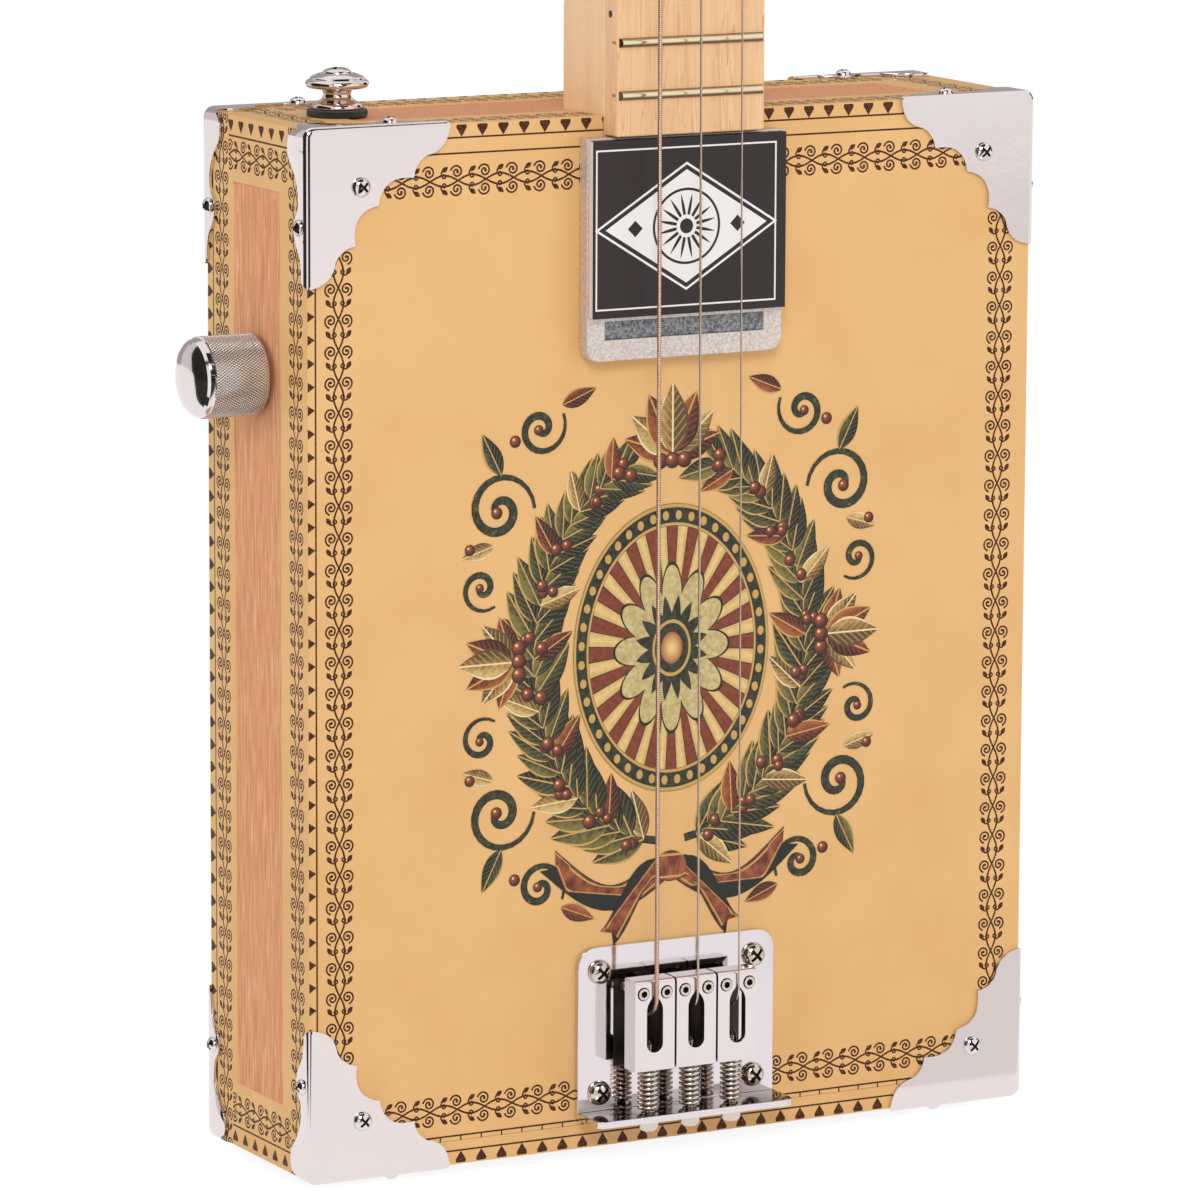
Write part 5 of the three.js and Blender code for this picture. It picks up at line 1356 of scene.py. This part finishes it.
# ring after ring is drawn on from the foot; on the skirt every other point is raised, and later
# the middle of each face is sunk
foot_ring = [(knob_foot, foot_radius * math.cos(a), knob_z + foot_radius * math.sin(a))
             for a in round_angles(ridges)]
knob = new_piece("knurled_knob", knurled_chrome, foot_ring, filled=False)
plain_foot = [(0.0, 8.9, False), (0.3, 9.0, False)]
skirt = [(knurl_low + (knurl_high - knurl_low) * n / rows, 9.02, True) for n in range(rows + 1)]
domed_end = [(13.5, 8.98), (13.9, 8.9), (14.5, 8.72), (15.1, 8.3), (15.7, 7.6), (16.2, 6.6), (16.6, 5.2),
             (16.85, 3.4), (16.97, 1.6)]
levels = plain_foot + skirt + [(height, radius, False) for height, radius in domed_end]
for index, (height, radius, knurled) in enumerate(levels):
    edit(knob)
    if index == 0:
        bpy.ops.mesh.select_all(action="SELECT")
    bpy.ops.mesh.extrude_edges_move()
    done()
    fresh = [v for v in knob.data.vertices if v.select]
    fresh.sort(key=lambda v: math.atan2(v.co.z - knob_z * MM, v.co.y) % (2 * math.pi - 1e-4))
    for n, vertex in enumerate(fresh):
        a = 2 * math.pi * n / ridges
        r = (radius + (ridge_high if knurled and (n + index) % 2 else 0.0)) * MM
        vertex.co = Vector(((knob_foot - height) * MM, r * math.cos(a), knob_z * MM + r * math.sin(a)))
edit(knob)
bpy.ops.mesh.edge_face_add()
face_outward()
bpy.ops.mesh.select_mode(type="FACE")
bpy.ops.mesh.select_all(action="DESELECT")
done()
for face in knob.data.polygons:
    along = -face.center.x / MM + knob_foot
    face.select = knurl_low < along < knurl_high
edit(knob)
bpy.ops.mesh.poke(offset=-poke_deep * MM)
bpy.ops.mesh.select_mode(type="VERT")
done()
choose(knob)
bpy.ops.object.shade_smooth_by_angle(angle=math.radians(11))
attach(knob, "volume")
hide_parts("volume_knob")
for node, name in (("volume_pot", "volume_control"), ("volume_shaft", "control_shaft")):
    from_solid(node, name, steel, "steel", body="guitar" if node == "volume_pot" else "volume", width=0.15)


# Strap button: a turned and chromed mushroom, held on the neck-end wall by a domed cross-slot screw.
# A ring of thick black felt with a slightly rough rim lies under it.
strap_x, felt_low, felt_high = -73.3, 238.2, 239.8
button_profile = rounded([
    (0, -0.1), (5.6, -0.1), (5.75, 0.5, 0.3), (5.3, 1.3, 0.6), (3.5, 2.1, 1.2), (3.0, 3.3, 1.0),
    (3.5, 4.4, 0.8), (6.6, 4.75, 0.5), (7.2, 5.3, 0.5), (7.2, 6.0, 0.5), (6.7, 6.5, 0.3), (6.3, 6.6, 0.2),
    (6.0, 7.2, 0.5), (4.4, 7.9, 0.6), (3.6, 8.05, 0.2), (0, 8.05)], 0.4, 3)
button = spun("strap_mushroom", chrome, button_profile, (strap_x, 0, felt_high + 0.1), (0, 0, 1),
              steps=64, smooth=35)
button_screw = dome("strap_screw", chrome, (strap_x, 0, felt_high + 8.15), (0, 0, 1), 3.3, 1.25, steps=32)
shank = spun("shank", steel, [(0, 0), (1.6, 0), (1.6, -7), (0, -7.6)], (strap_x, 0, felt_high), (0, 0, 1),
             steps=16)
button = joined("strap_mushroom", button, button_screw, shank)
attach(button, "guitar")
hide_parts("strap_button")
felt, t, shader = new_material("black_felt", roughness=1.0, Sheen_Weight=0.25)
place = t.place_mm()
fuzz = t.noise(place, 5.0, detail=5.0, roughness=0.8)
t.put(shader["Base Color"], t.blend(t.rescale(fuzz, 0.3, 0.7), rgb(12, 12, 12), rgb(44, 42, 42)))
bump(t, shader, fuzz, 0.9, 0.0004)
washer_profile = rounded([(1.9, 0), (6.8, 0), (6.9, 0.8, 0.4), (6.8, 1.6), (1.9, 1.6), (1.9, 0)], 0.35, 4)
washer = spun("felt_ring", felt, washer_profile, (strap_x, 0, felt_low), (0, 0, 1), steps=72)
washer_middle, rough_from = Vector((strap_x * MM, 0)), 6.0 * MM
random.seed(7)
for vertex in washer.data.vertices:
    off = vertex.co.xy - washer_middle
    if off.length > rough_from:
        vertex.co.xy = washer_middle + off * (1 + random.uniform(-0.03, 0.015))
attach(washer, "guitar")
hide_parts("strap_button_felt")


# Tuners: pressed and chromed housings screwed to the back of the headstock, each with a post
# that comes through to the front and an oval key on its worm.
for k in (1, 2, 3):
    post, key = f"tuner_post_{k}", f"tuner_key_{k}"
    from_solid(f"tuner_housing_{k}", f"machine_cover_{k}", chrome, "chrome", width=1.0, segments=4, angle=50)
    from_solid(post, f"string_post_{k}", chrome, "chrome", body=post, width=0.2, segments=2)
    from_solid(key, f"oval_key_{k}", chrome, "chrome", body=key, width=1.2, segments=4, angle=60)

# Jack, anchor and inner parts: a nutted socket in the treble wall, a chromed anchor for the string ends,
# the sawn block that carries the bridge screws, and the leads inside the box.
from_solid("output_jack", "jack_socket", steel, "steel", width=0.25, segments=2)
from_solid("string_anchor", "string_ferrule_plate", chrome, "chrome", width=0.5, segments=3)
block_wood, t, shader = new_material("sawn_block", roughness=0.75)
grain = t.use(maple_tree, Place=t.place_mm(), Depth=0.9)
t.put(shader["Base Color"], t.blend(0.5, grain["Color"], rgb(168, 120, 78)))
bump(t, shader, grain["Height"], 0.4, 0.0002)
from_solid("bridge_block", "bridge_bearer", block_wood, "block_wood", width=0.4)
cable, t, shader = new_material("lead_cover", roughness=0.5)
place = t.place_mm()
t.put(shader["Base Color"], t.blend(t.noise(place, 1.0), rgb(20, 20, 22), rgb(38, 38, 42)))
bump(t, shader, t.noise(place, 3.0), 0.2, 0.0001)
from_solid("wiring_harness", "inner_leads", cable, "cable", width=0)


# Studio: a plain pale floor and backdrop and three soft lamps, with the camera at the photograph's
# place. The floor and the world look white to the camera, and in polished metal.
bpy.ops.mesh.primitive_plane_add(size=6, location=(0, 0, -0.0026))
floor = bpy.context.object
floor.name = "floor"
floor_white, t, shader = new_material("floor_white", roughness=0.9, color=(0.9, 0.9, 0.9, 1.0))
rays = t.add("LightPath").outputs
seen = t.any(rays["Is Camera Ray"], rays["Is Glossy Ray"], rays["Is Transmission Ray"])
glow = t.add("Emission", {"Color": (1.0, 1.0, 1.0, 1.0), "Strength": 1.1})
mixed = t.add("MixShader", {0: t.times(seen, 0.82), 1: t.nodes["Principled BSDF"].outputs[0],
                            2: glow.outputs[0]})
t.links.new(mixed.outputs[0], t.nodes["Material Output"].inputs["Surface"])
floor.data.materials.append(floor_white)

world = bpy.data.worlds.new("studio")
bpy.context.scene.world = world
world.use_nodes = True
t = Tree(world.node_tree)
rays = t.add("LightPath").outputs
seen = t.any(rays["Is Camera Ray"], rays["Is Glossy Ray"], rays["Is Transmission Ray"])
background = t.nodes["Background"]
background.inputs["Color"].default_value = (1.0, 1.0, 1.0, 1.0)
t.put(background.inputs["Strength"], t.pick(seen, 0.55, 1.0))


def lamp(name, place, aim, size, watts):
    light = bpy.data.lights.new(name, "AREA")
    light.shape = "DISK"
    light.size = size
    light.energy = watts
    holder = bpy.data.objects.new(name, light)
    bpy.context.scene.collection.objects.link(holder)
    holder.location = place
    holder.rotation_euler = (Vector(aim) - Vector(place)).to_track_quat("-Z", "Y").to_euler()
    return holder


box_middle = (0.0, 0.0, 0.15)
lamp("key", (-0.7, -1.5, 1.3), box_middle, 0.9, 14.5)
lamp("fill", (1.3, -1.3, 0.6), box_middle, 1.2, 4.8).visible_glossy = False
lamp("left", (-1.7, 0.3, 0.7), box_middle, 1.0, 5.0).visible_glossy = False

# dark and grey cards stand on the table and round it, seen only in polished metal
card_reach, card_high, table = 2.6, 2.4, -0.0021
card_black, t, shader = new_material("card_black", roughness=0.9, color=(0.02, 0.018, 0.018, 1.0))


def grey_finish(name, light):
    """A card that glows evenly with this share of white."""
    made, t, shader = new_material(name, color=(0.0, 0.0, 0.0, 1.0), roughness=1.0, Specular_IOR_Level=0.0)
    shader["Emission Color"].default_value = (1.0, 0.98, 0.97, 1.0)
    shader["Emission Strength"].default_value = light
    return made


def dark_card(name, corners, finish=card_black):
    bpy.ops.mesh.primitive_plane_add(size=1)
    card = bpy.context.object
    card.name = "card_" + name
    for vertex, corner in zip(card.data.vertices, corners):
        vertex.co = corner
    card.data.materials.append(finish)
    card.visible_camera = card.visible_diffuse = card.visible_shadow = card.visible_transmission = False


def round_table(azimuth, height):
    a = math.radians(azimuth)
    return card_reach * math.cos(a), card_reach * math.sin(a), height


def standing_card(name, first, last, low=0.0, high=card_high, finish=card_black):
    """A card that stands upright between two azimuths."""
    dark_card(name, [round_table(first, low), round_table(last, low),
                     round_table(first, high), round_table(last, high)], finish)


standing_card("left", 132, 215)
standing_card("camera", 248, 275, high=0.75)
standing_card("above_camera", 225, 280, low=0.75)
standing_card("right", -15, 25, low=0.1, high=1.6)
standing_card("side", 110, 132, finish=grey_finish("card_grey_side", 0.72))
standing_card("back", 40, 110, finish=grey_finish("card_grey_back", 0.4))
dark_card("table_right", [(0.045, -0.05, table), (0.3, -0.05, table), (0.95, -1.75, table), (2.0, -1.5, table)],
          grey_finish("card_grey_table", 0.86))
for name, near, first, last in (("table_left", (-0.16, -0.05, -0.0022), 132, 215),
                                ("table_camera", (-0.125, -0.07, -0.0022), 248, 275)):
    near = Vector(near)
    spread = [near + Vector(round_table(azimuth, 0)) for azimuth in (first, last)]
    dark_card(name, [near, near + (spread[0] - near) * 0.001, spread[1], spread[0]])
dark_card("ceiling", [(-1.2, -2.2, 2.4), (1.2, -2.2, 2.4), (-1.2, -0.4, 2.4), (1.2, -0.4, 2.4)])

# camera: where the box's edges and corners in the photograph place it, in millimetres and pixels
camera_place = Vector((-788.28, -1451.65, 410.03))
yaw, pitch, roll = math.radians(-28.325), math.radians(-9.892), math.radians(-0.236)
sensor, focal_pixels, photo_pixels = 36, 7221.8, 1200
camera_data = bpy.data.cameras.new("photograph")
camera_data.sensor_fit = "VERTICAL"
camera_data.sensor_height = sensor
camera_data.lens = focal_pixels / photo_pixels * sensor
camera_data.clip_end = 20
camera = bpy.data.objects.new("photograph", camera_data)
bpy.context.scene.collection.objects.link(camera)
turn = Matrix.Rotation(yaw, 3, "Z") @ Matrix.Rotation(pitch, 3, "X") @ Matrix.Rotation(roll, 3, "Y")
right, forward, up = turn.col[0], turn.col[1], turn.col[2]
facing = Matrix((right, up, -forward)).transposed()
camera.matrix_world = Matrix.Translation(camera_place * MM) @ facing.to_4x4()
bpy.context.scene.camera = camera
bpy.context.scene.view_settings.view_transform = "Standard"
